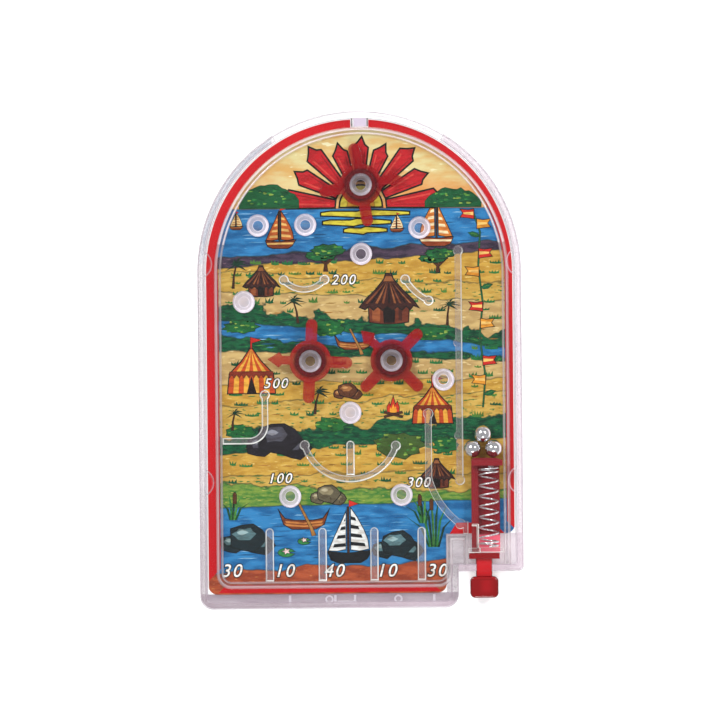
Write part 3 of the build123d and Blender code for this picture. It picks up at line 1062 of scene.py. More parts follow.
@dataclass
class HangingWalls:
    """The clear guides, walls and dividers that hang from the cover over the card.

    Attributes:
        hazes: The haze of each piece, by its CAD node.
        stop_high: Up to where the spring's stop is rounded, as its bar and its fin end at two heights.
    """

    hazes: dict[str, Haze] = field(default_factory=lambda: {
        "track_wall": Haze(0.24, 0.1, 0.46, 0.5, True, 0.62),
        "lane_wall": Haze(0.18, 0.1, 0.1, 0.75),
        "return_guide": Haze(0.2, 0.1, 0.55, 0.8),
        "catch_guide": Haze(0.2, 0.1, 0.5, 0.95),
        "cup_guide": Haze(0.24, 0.1, 0.3, 0.85),
        "cup_rib": Haze(0.22, 0.1, 0.5, 0.8),
        "upper_arc_guide": Haze(0.26, 0.1, 0.4, 0.9),
        "short_arc_guide": Haze(0.24, 0.1, 0.5, 0.95),
        "spring_stop": Haze(0.1, 0.08, 0.8, 0.95),
        **{f"pocket_divider_{number}": Haze(0.24, 0.1, 0.4, 0.85) for number in (1, 2, 3, 4)},
    })
    stop_high: float = 10.4

    def build(self, frame: dict[str, Any], finish: bpy.types.Material, ring: bpy.types.Material) -> None:
        """Make a rounded copy of each wall in place of its CAD node.

        Args:
            frame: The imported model.
            finish: The clear plastic.
            ring: The plastic of the wall round the play space.
        """
        for node, haze in self.hazes.items():
            top = self.stop_high if node == "spring_stop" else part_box(node)[0][2] / MM + 0.01
            piece = moulded_copy(frame["nodes"][node], f"clear_{node}", haze.edge,
                                 lambda middle: middle.z < top)
            frost(piece, haze.find)
            dress(piece, ring if haze.ring else finish)
            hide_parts(node)
            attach(piece, "case")
            report(piece)


@dataclass
class HangingPosts:
    """The hollow posts: nine that turn balls aside and three that carry spinners.

    Attributes:
        edge: The rounding of the foot.
        hole: The radius of the clear middle of the foot.
        milky: The posts whose foot is milky all over.
        ring: The haze of the foot round its clear middle, and how much light and shade add to it.
        middles: The haze of that middle on a milky post and on the others.
        bore: The haze of the bore's slanted wall.
        flank: The haze of the outer side.
        rest: The haze of all other faces.
    """

    edge: float = 0.5
    hole: float = 1.45
    milky: tuple[str, ...] = ("bumper_post_2", "bumper_post_9")
    ring: Point = (0.82, 0.14)
    middles: Point = (0.6, 0.06)
    bore: float = 0.22
    flank: float = 0.12
    rest: float = 0.04

    def build(self, frame: dict[str, Any], finish: bpy.types.Material) -> None:
        """Make a rounded copy of each post in place of its CAD node.

        Args:
            frame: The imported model.
            finish: The clear plastic.
        """
        for node in [name for name in frame["nodes"] if "_post_" in name]:
            low, high = (Vector(corner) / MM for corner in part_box(node))
            centre = (low + high) / 2
            piece = moulded_copy(frame["nodes"][node], f"clear_{node}", self.edge,
                                 lambda middle: middle.z < low.z + 0.01)
            self.mark_foot(piece, (high.x - low.x) / 2 - self.edge - self.hole)

            def haze(middle: Vector, normal: Vector) -> float:
                """Find the haze from where a face lies on the post.

                Args:
                    middle: The face's middle in millimetres.
                    normal: The face's normal.

                Returns:
                    The haze, from 0 to 1.
                """
                away = middle - centre
                away.z = 0.0
                reach = away.length
                side = 0.0 if reach < 0.01 else brightward(away) / reach
                if normal.z < -0.1:
                    if reach < self.hole - 0.1:
                        return self.middles[0 if node in self.milky else 1]
                    return self.ring[0] + self.ring[1] * side
                if abs(normal.z) < 0.3:
                    return self.bore if normal.dot(away) < 0.0 else self.flank
                return self.rest

            frost(piece, haze)
            dress(piece, finish)
            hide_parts(node)
            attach(piece, "case")
            report(piece)

    def mark_foot(self, piece: bpy.types.Object, width: float) -> None:
        """Inset the foot's flat face, to part its ring from its clear middle.

        Args:
            piece: The post.
            width: The ring's width in millimetres.
        """
        only(piece)
        low = min(corner[2] for corner in piece.bound_box)
        bpy.ops.object.mode_set(mode="EDIT")
        bpy.ops.mesh.select_mode(type="FACE")
        bpy.ops.mesh.select_all(action="DESELECT")
        cage = bmesh.from_edit_mesh(piece.data)
        for face in cage.faces:
            face.select_set(face.normal.z < -0.99 and face.calc_center_median().z < low + 0.01 * MM)
        bmesh.update_edit_mesh(piece.data)
        bpy.ops.mesh.inset(thickness=width * MM, depth=0.0)
        bpy.ops.object.mode_set(mode="OBJECT")


@dataclass
class Shell:
    """The clear tray and cover, whose rims and strip tops are rounded; the rims show as fine lines and the tops
    carry painted glints.

    Attributes:
        edge: The width of the rounding in millimetres.
        seam: The height of the seam between tray and cover.
        plate: The height of the cover's plate, whose edge is bare where the bead stops.
        top: The least height of the tops in the strip below the card.
        strip: The upper side of that strip.
        rims: The haze of the rims.
        glint: The haze of the tops, which paints a glint on them.
    """

    edge: float = 0.25
    seam: float = 2.0
    plate: float = 12.0
    top: float = 10.2
    strip: float = -66.0
    rims: float = 0.55
    glint: float = 0.74

    def rounded(self, middle: Vector) -> bool:
        """Whether the edge with this middle, in millimetres, is rounded.

        Args:
            middle: The edge's middle.

        Returns:
            Whether it is.
        """
        if middle.y < self.strip and self.top < middle.z < self.top + 0.2:
            return True
        level = min(abs(middle.z - self.seam), abs(middle.z - self.plate)) < 0.01
        return level and CaseOutline().measure(middle) < 0.06

    def haze(self, middle: Vector, normal: Vector) -> float:
        """Find the haze of one face.

        Args:
            middle: The face's middle in millimetres.
            normal: The face's normal.

        Returns:
            The haze, from 0 to 1.
        """
        # The tops in the strip get a painted glint.
        if self.top - 0.2 < middle.z < self.top + 0.2 and middle.y < self.strip and normal.z > 0.2:
            return self.glint
        return self.rims if 0.2 < abs(normal.z) < 0.96 else 0.0

    def build(self, frame: dict[str, Any], finishes: dict[str, bpy.types.Material]) -> None:
        """Make the rounded copies in place of the CAD nodes.

        Args:
            frame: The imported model.
            finishes: The clear plastic of each CAD node.
        """
        for node, finish in finishes.items():
            piece = moulded_copy(frame["nodes"][node], f"clear_{node}", self.edge, self.rounded)
            frost(piece, self.haze)
            dress(piece, finish)
            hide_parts(node)
            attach(piece, "case")
            report(piece)


@dataclass
class RedParts:
    """The red plunger and spinners, with their moulded edges rounded.

    Attributes:
        edge: The width of the rounding in millimetres.
        knob_edge: The width of the rounding round the knob.
        knob_high: The upper side of the knob.
        flange_high: The upper side of the flange.
    """

    edge: float = 0.2
    knob_edge: float = 0.9
    knob_high: float = -62.2
    flange_high: float = -55.45

    def build(self, frame: dict[str, Any], grips: Sequence[bpy.types.Material], arms: bpy.types.Material) -> None:
        """Make the rounded copies in place of the CAD nodes.

        Args:
            frame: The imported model.
            grips: The clear and the opaque plastic of the plunger.
            arms: The spinners' plastic.
        """
        for node in ("plunger", "spinner_top", "spinner_left", "spinner_right"):
            piece = moulded_copy(frame["nodes"][node], f"red_{node}", self.edge,
                                 lambda middle: middle.y > self.knob_high)
            if node == "plunger":
                soften(piece, self.knob_edge, lambda middle: middle.y < self.knob_high)
                piece.data.materials.clear()
                for finish in grips:
                    piece.data.materials.append(finish)
                for face in piece.data.polygons:
                    face.material_index = int(face.center.y < self.flange_high * MM)
            else:
                dress(piece, arms)
            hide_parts(node)
            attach(piece, node)
            report(piece)


@dataclass
class Spring:
    """The bright coil spring between the plunger's head and its stop, in millimetres.

    Attributes:
        centre: X and Z of its axis.
        low: The Y of its lower end.
        length: Its length at rest.
        diameter: Its outer diameter.
        wire: The wire's thickness.
        close_rise: How far it rises in a half turn near its ends.
        close_halves: The number of such half turns at each end.
        open_halves: The number of half turns between.
        least: Its length when the plunger is pulled, as a share of the length at rest; not used.
        steps: The points in each half turn.
        crease: The angle from which its edges stay sharp.
    """

    centre: Point = (36.3, 6.8)
    low: float = -53.9
    length: float = 23.2
    diameter: float = 5.8
    wire: float = 0.5
    close_rise: float = 0.55
    close_halves: int = 3
    open_halves: int = 13
    least: float = 0.31
    steps: int = 12
    crease: float = math.radians(50)

    def path(self) -> list[tuple[float, float, float]]:
        """The wire's centre line, in metres.

        Returns:
            Its points.
        """
        halves = 2 * self.close_halves + self.open_halves
        run = self.length - self.wire
        open_rise = (run - 2 * self.close_halves * self.close_rise) / self.open_halves
        radius = (self.diameter - self.wire) / 2
        y = self.low + self.wire / 2
        points = []
        for step in range(halves * self.steps + 1):
            angle = math.pi * step / self.steps
            half = step // self.steps
            near = half < self.close_halves or half >= halves - self.close_halves
            points.append(((self.centre[0] + radius * math.sin(angle)) * MM, y * MM,
                           (self.centre[1] + radius * math.cos(angle)) * MM))
            y += (self.close_rise if near else open_rise) / self.steps
        return points

    def build(self, finish: bpy.types.Material) -> None:
        """Wind the spring in place of its CAD node.

        Args:
            finish: The spring wire.
        """
        curve = bpy.data.curves.new("coil_spring", "CURVE")
        curve.dimensions = "3D"
        curve.bevel_depth = self.wire / 2 * MM
        curve.bevel_resolution = 3
        curve.use_fill_caps = True
        points = self.path()
        line = curve.splines.new("POLY")
        line.points.add(len(points) - 1)
        for knot, point in zip(line.points, points):
            knot.co = (*point, 1.0)
        spring = place("coil_spring", curve)
        only(spring)
        bpy.ops.object.convert(target="MESH")
        spring = bpy.context.object
        bpy.ops.object.shade_smooth_by_angle(angle=self.crease)
        dress(spring, finish)
        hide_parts("plunger_spring")
        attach(spring, "case")
        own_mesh(spring)
        report(spring)


@dataclass
class Studio:
    """The pale floor, the soft lamps and the camera above the game.

    Attributes:
        distance: The camera's height over the game in metres.
        field: The width of the view at the game in metres.
        aim: Where the camera's axis meets the game.
        level: The height in the game at which the view has that width.
        turn: How much the game is turned in the picture, in radians.
        lamps: Place, size in metres and power in watts of each lamp.
        paper: The strength at which the floor shines to camera and reflections.
        air: The colour of the room's light.
        air_strength: How strong that light is.
    """

    distance: float = 2.0
    field: float = 0.20484
    aim: Point = (0.00003, -0.00023)
    level: float = 0.008
    turn: float = -0.0096
    lamps: tuple[tuple[tuple[float, float, float], float, float], ...] = (
        ((-0.55, 0.5, 0.95), 0.35, 7.2),
        ((0.6, 0.35, 0.9), 0.25, 4.4),
        ((0.05, -0.75, 0.8), 0.3, 3.4),
    )
    paper: float = 0.36
    air: Colour = (0.97, 0.98, 1.0, 1.0)
    air_strength: float = 0.45

    def build(self) -> None:
        """Set up the floor, the world, the lamps and the camera."""
        self.floor()
        self.world()
        for number, (spot, size, power) in enumerate(self.lamps, start=1):
            data = bpy.data.lights.new(f"lamp_{number}", "AREA")
            data.shape = "DISK"
            data.size = size
            data.energy = power
            lamp = place(data.name, data)
            lamp.location = spot
            lamp.rotation_euler = (-Vector(spot)).to_track_quat("-Z", "Y").to_euler()
        self.camera()
        scene = bpy.context.scene
        scene.view_settings.view_transform = "Standard"
        scene.cycles.transparent_max_bounces = 32
        LOG.info("studio: %d lamps", len(self.lamps))

    def floor(self) -> None:
        """Lay a wide pale floor that the camera and reflections see as white."""
        bpy.ops.mesh.primitive_plane_add(size=4.0, location=(0.0, 0.0, -0.0001))
        floor = bpy.context.object
        floor.name = "floor"
        board = Board("pale_floor")
        path = board.add("ShaderNodeLightPath", {}, {})
        seen = [Signal(board, path.outputs[f"Is {ray} Ray"]) for ray in ("Camera", "Glossy", "Transmission")]
        glow = seen[0].at_least(seen[1]).at_least(seen[2]) * self.paper
        shade = board.blend(glow, ink(BLACK), ink("#ffffff"))
        dress(floor, board.dress({
            "Base Color": ink("#f2f2f3"),
            "Roughness": 0.9,
            "Emission Color": shade,
            "Emission Strength": 1.0,
        }))

    def world(self) -> None:
        """Fill the room with even light, a trace bluer than white."""
        world = bpy.data.worlds.new("room")
        world.use_nodes = True
        backdrop = world.node_tree.nodes["Background"]
        backdrop.inputs["Color"].default_value = self.air
        backdrop.inputs["Strength"].default_value = self.air_strength
        bpy.context.scene.world = world

    def camera(self) -> None:
        """Put the camera straight above the game, as in the photograph."""
        data = bpy.data.cameras.new("camera")
        data.sensor_width = 36.0
        data.lens = data.sensor_width * self.distance / self.field
        data.clip_start = 0.1
        camera = place("camera", data)
        camera.location = (*self.aim, self.distance + self.level)
        camera.rotation_euler = (0.0, 0.0, self.turn)
        bpy.context.scene.camera = camera


@dataclass
class Press:
    """Prints figures on the card as thin layers of ink, each shape in a colour of its own.

    Attributes:
        ground: The height of the card's face in millimetres.
        layer: The height from one layer of ink to the next.
        thickness: The thickness of a layer.
        shapes: What is printed so far, with its colours.
    """

    ground: float = 2.5
    layer: float = 0.003
    thickness: float = 0.002
    shapes: list[tuple[bpy.types.Object, Colour]] = field(default_factory=list)

    def lay(self, data: bpy.types.Curve, spot: Point, level: int, colour: str) -> None:
        """Lay one flat curve or text on the card.

        Args:
            data: The curve or text.
            spot: Where its origin comes, in millimetres.
            level: The layer that it lies in.
            colour: Its colour.
        """
        data.extrude = self.thickness / 2 * MM
        shape = place("ink", data)
        shape.location = (spot[0] * MM, spot[1] * MM, (self.ground + self.layer * level) * MM)
        self.shapes.append((shape, ink(colour)))

    def patch(self, points: Sequence[Point], colour: str, level: int = 3, line: float = 0.0) -> None:
        """Print a filled outline, over a dark line in the layer below where it has one.

        Args:
            points: The outline's corners in millimetres.
            colour: The fill.
            level: The layer of the fill.
            line: The width of the dark line, or 0.
        """
        for grow, shade, layer in ((line, DARK, level - 1), (0.0, colour, level)):
            if layer < level and not line:
                continue
            data = bpy.data.curves.new("ink", "CURVE")
            data.dimensions = "2D"
            data.fill_mode = "BOTH"
            data.resolution_u = 1
            data.offset = grow * MM
            spline = data.splines.new("BEZIER")
            spline.bezier_points.add(len(points) - 1)
            for knot, (x, y) in zip(spline.bezier_points, points):
                knot.co = (x * MM, y * MM, 0.0)
                knot.handle_left_type = knot.handle_right_type = "VECTOR"
            spline.use_cyclic_u = True
            self.lay(data, (0.0, 0.0), layer, shade)

    def number(self, text: str, spot: Point, size: float) -> None:
        """Print a score in slanted white digits with a dark line round them.

        Args:
            text: The digits.
            spot: The middle of the number in millimetres.
            size: The height of the font in millimetres.
        """
        for grow, shade, level in ((0.28, DARK, 13), (0.03, "#f6f4f0", 14)):
            data = bpy.data.curves.new("score", "FONT")
            settings = {"body": text, "size": size * MM, "shear": 0.25, "space_character": 1.2, "align_x": "CENTER",
                        "align_y": "CENTER", "offset": grow * MM, "resolution_u": 4}
            for name, value in settings.items():
                setattr(data, name, value)
            self.lay(data, spot, level, shade)

    def finish(self, name: str, material: bpy.types.Material) -> bpy.types.Object:
        """Turn all that was printed into one mesh on the card.

        Args:
            name: The mesh's name.
            material: The printing ink.

        Returns:
            The print.
        """
        pieces = [shape for shape, _ in self.shapes]
        only(*pieces)
        bpy.ops.object.convert(target="MESH")
        for shape, colour in self.shapes:
            marks = shape.data.attributes.new(INK, "FLOAT_COLOR", "POINT")
            marks.data.foreach_set("color", colour * len(shape.data.vertices))
        only(*pieces)
        bpy.ops.object.join()
        printed = bpy.context.object
        printed.name = name
        bpy.ops.object.transform_apply(location=True, rotation=False, scale=False)
        bpy.ops.object.mode_set(mode="EDIT")
        bpy.ops.mesh.select_all(action="SELECT")
        bpy.ops.mesh.remove_doubles(threshold=WELD)
        bpy.ops.mesh.normals_make_consistent(inside=False)
        bpy.ops.object.mode_set(mode="OBJECT")
        dress(printed, material)
        return printed


def moved(points: Iterable[Point], spot: Point, wide: float = 1.0, high: float = 1.0) -> list[Point]:
    """Scale an outline and move it to its place.

    Args:
        points: The outline in units of its size.
        spot: Where its origin comes, in millimetres.
        wide: The unit across in millimetres, negative to turn it left to right.
        high: The unit upwards.

    Returns:
        The outline in millimetres.
    """
    return [(spot[0] + wide * x, spot[1] + high * y) for x, y in points]


def polar(spot: Point, reach: float, degrees: float, squash: float = 1.0) -> Point:
    """A point at a distance and an angle from another one.

    Args:
        spot: The first point.
        reach: The distance.
        degrees: The angle from the X axis.
        squash: Scales the point's rise.

    Returns:
        The new point.
    """
    angle = math.radians(degrees)
    return (spot[0] + reach * math.cos(angle), spot[1] + squash * reach * math.sin(angle))


def arc(spot: Point, turn: float, corners: Iterable[Point]) -> list[Point]:
    """Corners round a point.

    Args:
        spot: The point.
        turn: An angle in degrees that is added to each corner's.
        corners: The distance and the angle of each.

    Returns:
        The outline in millimetres.
    """
    return [polar(spot, reach, turn + angle) for reach, angle in corners]


@dataclass
class Picture:
    """The figures of the printed landscape, with the scores of the pockets.

    Attributes:
        GRASS: The greens of the grass.
        SHADE: The colours of the strokes between the grass.
        WATER: The colours of the ripples.
        LEAF: The greens of the dabs in crowns and bushes, in turn.
        REED: The greens of the reeds' leaves, in turn.
        THATCH: The browns of the straw on a hut, in turn.
        press: Prints them on the card.
        chance: Spreads and bends the grass, the ripples and the leaves.
    """

    GRASS: ClassVar[tuple[str, ...]] = ("#1c6a36", "#0f5230", "#2f7236", "#4a7a30")
    SHADE: ClassVar[tuple[str, ...]] = ("#8a6528", "#a3702e", "#2f6a34")
    WATER: ClassVar[tuple[str, ...]] = ("#7fb2d6", "#12507f", "#4f93c4")
    LEAF: ClassVar[tuple[str, ...]] = ("#5d9438", "#2f7d3a", "#083d26", "#8aa845")
    REED: ClassVar[tuple[str, ...]] = ("#0f4a2c", "#2c7434", "#093422", "#47883a")
    THATCH: ClassVar[tuple[str, ...]] = ("#7d4428", "#1c100f", "#955a33")

    press: Press = field(default_factory=Press)
    chance: random.Random = field(default_factory=lambda: random.Random(11))

    def figure(self, shapes: Iterable[Shape], spot: Point, wide: float, high: float, thin: float = 1.0) -> None:
        """Print some shapes at one place and size, with their dark lines scaled by the last number."""
        for points, colour, level, line in shapes:
            self.press.patch(moved(points, spot, wide, high), colour, level, line * thin)

    def bumpy(self, spot: Point, wide: float, high: float, bumps: int, depth: float) -> list[Point]:
        """The outline of a leafy or stony heap.

        Args:
            spot: Its middle.
            wide: Half its width.
            high: Half its height.
            bumps: The number of bumps round it.
            depth: How deep the dips between them are, as a share of its size.

        Returns:
            The outline.
        """
        reaches = [1.0 - depth * (step % 2) + self.chance.uniform(-0.5, 0.5) * depth for step in range(2 * bumps)]
        ring = [polar((0.0, 0.0), reach, 180.0 * step / bumps) for step, reach in enumerate(reaches)]
        return moved(ring, spot, wide, high)

    def stroke(self, spot: Point, half: float, colour: str) -> None:
        """One lying brush stroke with pointed ends.

        Args:
            spot: Its middle.
            half: Half its length.
            colour: Its colour.
        """
        thick = self.chance.uniform(0.1, 0.2)
        dab = [(-1.0, -0.1), (-0.3, thick), (0.4, 0.7 * thick), (1.0, 0.1), (0.3, -thick), (-0.4, -0.8 * thick)]
        self.press.patch(moved(dab, spot, half), colour, 1)

    def tuft(self, spot: Point, wide: float, high: float, green: str) -> None:
        """A tuft of thin grass blades.

        Args:
            spot: The middle of its foot.
            wide: Its width.
            high: Its height.
            green: Its colour.
        """
        x, y = spot
        blades = max(3, int(wide * 1.5))
        points = [(x - wide / 2, y)]
        for step in range(blades):
            side = (step + 0.5) / blades - 0.5
            root = x + wide * side
            lean = side + self.chance.uniform(-0.3, 0.3)
            points.append((root + 0.8 * lean, y + high * self.chance.uniform(0.5, 1.0)))
            points.append((root + wide * 0.3 / blades, y + high * 0.2))
        self.press.patch(points + [(x + wide / 2, y - 0.1), (x, y - 0.25)], green, 1)

    def meadow(self, left: float, right: float, low: float, high: float, rich: float = 0.6) -> None:
        """Tufts of grass and strokes of shade spread over a stretch of ground.

        Args:
            left: The stretch's left side.
            right: Its right side.
            low: Its lower side.
            high: Its upper side.
            rich: How much of it has grass, from 0 to 1.
        """
        rows = max(1, round((high - low) / 2.7))
        for row in range(rows):
            y = low + (row + self.chance.uniform(0.1, 0.4)) * (high - low) / rows
            x = left + self.chance.uniform(0.0, 3.0)
            while x < right - 2.0:
                wide = self.chance.uniform(1.6, 4.2)
                pick = self.chance.random()
                spot = (x + wide / 2, y + self.chance.uniform(-0.2, 0.3))
                if pick < rich:
                    green = self.chance.choice(self.GRASS)
                    self.tuft(spot, wide, self.chance.uniform(0.7, 2.0), green)
                elif pick < rich + 0.25:
                    self.stroke(spot, wide / 2, self.chance.choice(self.SHADE))
                x += wide + self.chance.uniform(0.3, 3.0)

    def ripples(self, left: float, right: float, low: float, high: float) -> None:
        """Light and dark strokes on water, between two sides and two heights.

        Args:
            left: The water's left side.
            right: Its right side.
            low: Its lower side.
            high: Its upper side.
        """
        y = low
        while y < high:
            x = left + self.chance.uniform(0.0, 6.0)
            while x < right - 3.0:
                half = self.chance.uniform(1.0, 3.2)
                self.stroke((x + half, y), half, self.chance.choice(self.WATER))
                x += 2 * half + self.chance.uniform(1.5, 7.0)
            y += self.chance.uniform(0.9, 1.6)

    def leaves(self, spot: Point, wide: float, high: float, level: int, count: int) -> None:
        """Dabs of leaf inside a crown or bush, in two layers from a level up.

        Args:
            spot: The crown's middle.
            wide: Half its width.
            high: Half its height.
            level: The lower layer.
            count: The number of dabs.
        """
        for number in range(count):
            x = spot[0] + self.chance.uniform(-0.85, 0.85) * wide
            y = spot[1] + self.chance.uniform(-0.8, 0.8) * high
            dab = self.bumpy((x, y), self.chance.uniform(0.35, 0.9), self.chance.uniform(0.18, 0.4), 3, 0.3)
            self.press.patch(dab, self.LEAF[number % 4], level + number % 2)

    def sun(self, spot: Point) -> None:
        """A rising sun with broad red rays.

        Args:
            spot: Its middle.
        """
        for step in range(9):
            turn = 6.0 + 21.0 * step
            reach = (17.2 if step % 2 else 19.4) + 4.2 * abs(math.cos(math.radians(turn)))
            ray = arc(spot, turn, [(7.6, -7.0), (reach - 2.6, -6.8), (reach - 1.9, -3.6), (reach, -1.0),
                                   (reach - 1.3, 2.2), (reach - 2.4, 6.8), (7.6, 7.0)])
            gleam = arc(spot, turn, [(8.8, 3.9), (reach - 3.2, 4.6), (reach - 3.6, 3.0), (8.8, 1.4)])
            crease = arc(spot, turn, [(9.6, -3.6), (reach - 3.8, -4.9), (reach - 3.6, -4.2), (9.6, -2.6)])
            self.press.patch(moved(ray, (-0.45, -0.25)), "#dccb7d", 2)
            self.press.patch(ray, "#b81a22", 4, 0.5)
            self.press.patch(gleam, "#cf4038", 5)
            self.press.patch(crease, "#7c1117", 5)
        disc, core = (arc(spot, 0.0, [(reach, 12.0 * step) for step in range(16)]) for reach in (5.9, 3.9))
        self.press.patch(disc + [(spot[0], spot[1] - 0.1)], "#d3c341", 7, 0.5)
        self.press.patch(core, "#c98f2c", 8, 0.12)

    def gleams(self, spot: Point) -> None:
        """The sun's yellow gleams on the water.

        Args:
            spot: The sun's middle.
        """
        bar = [(-1.0, -0.35), (-1.0, 0.25), (-0.8, 0.6), (-0.2, 0.5), (0.0, 0.95), (0.7, 0.6), (1.0, 0.35),
               (1.0, -0.2), (0.6, -0.4), (0.1, -0.45), (-0.1, -0.9), (-0.7, -0.5)]
        for shift, drop, half in ((1.2, 2.1, 12.5), (-1.2, 4.6, 9.6), (1.2, 6.9, 6.0)):
            self.press.patch(moved(bar, (spot[0] + shift, spot[1] - drop), half), "#cfc23a", line=0.42)

    def hill(self, left: float, right: float, low: float, top: float) -> None:
        """A wooded hill behind the lake.

        Args:
            left: Its left foot.
            right: Its right foot.
            low: The height of its feet.
            top: The height of its crest.
        """
        wide = right - left
        high = top - low
        rises = [math.sin(math.pi * (step + 0.5) / 15) ** 0.5 for step in range(15)]
        crest = [(left + wide * step / 14, low + high * rise + self.chance.uniform(-0.4, 0.4))
                 for step, rise in enumerate(rises)]
        self.press.patch(crest + [(right, low), (left, low)], "#12552f", 10, 0.1)
        self.leaves(((left + right) / 2, low + 0.45 * high), wide * 0.4, high * 0.36, 11, 22)

    def sailboat(self, spot: Point, size: float, hull: str, sail: str, light: str, mirror: bool = False) -> None:
        """A boat with two sails.

        Args:
            spot: The middle of its deck.
            size: Half its length.
            hull: The hull's colour.
            sail: The sails' colour.
            light: The colour of the stripes on hull and sails.
            mirror: Whether it points the other way.
        """
        shapes: list[Shape] = [
            ([(-1.0, 0.08), (-0.84, -0.3), (-0.5, -0.44), (0.6, -0.44), (0.9, -0.26), (1.14, 0.14), (0.0, 0.0)],
             hull, 3, 0.24),
            ([(-0.94, -0.06), (-0.9, -0.18), (0.96, -0.16), (1.04, -0.02)], light, 4, 0.0),
            ([(-0.05, 0.0), (0.05, 0.0), (0.05, 2.3), (-0.05, 2.3)], "#3a2418", 3, 0.1),
            ([(0.05, 2.3), (0.05, 2.62), (0.5, 2.44)], "#c8281f", 5, 0.1),
            ([(0.14, 0.2), (0.14, 2.2), (0.44, 1.76), (0.74, 1.2), (0.94, 0.7), (1.0, 0.24), (0.55, 0.14)],
             sail, 3, 0.24),
            ([(-0.12, 2.0), (-0.14, 0.22), (-0.55, 0.14), (-0.95, 0.16), (-0.66, 0.84), (-0.34, 1.5)],
             sail, 3, 0.24),
        ]
        for rise in (0.34, 0.76, 1.18, 1.6):
            far = 0.98 - 0.36 * rise
            near = 0.42 * rise - 0.9
            fore = [(0.14, rise + 0.06), (far, rise), (far - 0.06, rise + 0.17), (0.14, rise + 0.24)]
            aft = [(-0.14, rise), (near, rise - 0.04), (near + 0.07, rise + 0.13), (-0.14, rise + 0.17)]
            shapes += [(fore, light, 4, 0.0), (aft, light, 4, 0.0)]
        self.figure(shapes, spot, -size if mirror else size, size, min(1.0, size / 3))

    def canoe(self, spot: Point, size: float, colour: str, light: str) -> None:
        """A long boat with upturned ends and a paddle.

        Args:
            spot: The middle of its rim.
            size: Half its length, nearly.
            colour: The hull's colour.
            light: The rim's colour.
        """
        hull = [(-1.22, 0.44), (-0.98, 0.12), (-0.5, 0.02), (0.5, 0.02), (0.98, 0.12), (1.22, 0.44), (1.02, -0.16),
                (0.6, -0.4), (-0.6, -0.4), (-1.02, -0.16)]
        rim = [(-0.98, 0.05), (0.0, -0.05), (0.98, 0.05), (0.9, -0.06), (0.0, -0.13), (-0.9, -0.06)]
        paddle = [(-0.3, 0.9), (-0.22, 0.94), (0.42, -0.3), (0.6, -0.72), (0.4, -0.76), (0.3, -0.36)]
        self.figure([(hull, colour, 3, 0.26), (moved(rim, (0.0, -0.04)), light, 4, 0.0),
                     (moved(rim, (0.0, -0.18)), light, 4, 0.0), (paddle, "#a8763a", 6, 0.14)], spot, size, size)

    def palm(self, spot: Point, high: float, lean: float) -> None:
        """A slim palm with drooping leaves.

        Args:
            spot: Its foot.
            high: Its height.
            lean: How far it leans to the right, as a share of that.
        """
        top = (spot[0] + lean * high, spot[1] + high)
        middle = (spot[0] + 0.25 * lean * high, spot[1] + 0.5 * high)
        sides = ((spot, -0.3), (middle, -0.2), (top, -0.12), (top, 0.14), (middle, 0.2), (spot, 0.4))
        self.press.patch([(x + side, y) for (x, y), side in sides], "#3f2414", 8, 0.08)
        reach = 0.66 * high
        crown = []
        for step in range(8):
            angle = 36.0 * step - 36.0
            tip = polar(top, reach * (0.8 + 0.2 * (step % 2)), angle, 0.6)
            crown += [(tip[0], tip[1] - 0.16 * reach), polar(top, 0.34 * reach, angle + 9.0, 0.9),
                      polar(top, 0.14 * reach, angle + 18.0)]
        self.press.patch(crown, "#0d3323", 9)

    def broad_tree(self, spot: Point, size: float) -> None:
        """A tree with a wide flat crown in two storeys.

        Args:
            spot: Its foot.
            size: Half its height.
        """
        trunk = [(-0.12, 0.0), (-0.05, 0.5), (-0.6, 1.0), (-0.5, 1.04), (0.0, 0.66), (0.1, 0.66), (0.55, 1.06),
                 (0.66, 1.0), (0.1, 0.46), (0.16, 0.0)]
        self.press.patch(moved(trunk, spot, size, size), "#4d2a14", 3, 0.16)
        for x, y, wide, high, level, inner in ((-0.35, 1.1, 1.15, 0.36, 5, 5), (0.25, 1.5, 1.25, 0.42, 7, 8)):
            middle = (spot[0] + x * size, spot[1] + y * size)
            self.press.patch(self.bumpy(middle, wide * size, high * size, 10, 0.16), "#185c30", level, 0.18)
            self.leaves(middle, 0.8 * wide * size, 0.7 * high * size, inner, 12)

    def bush(self, spot: Point, wide: float, high: float, green: str = "#17602f") -> None:
        """A low leafy bush with a middle, half a width, half a height and a colour."""
        self.press.patch(self.bumpy(spot, wide, high, 9, 0.2), green, 3, 0.14)
        self.leaves(spot, wide, high, 4, max(6, int(wide * 3)))

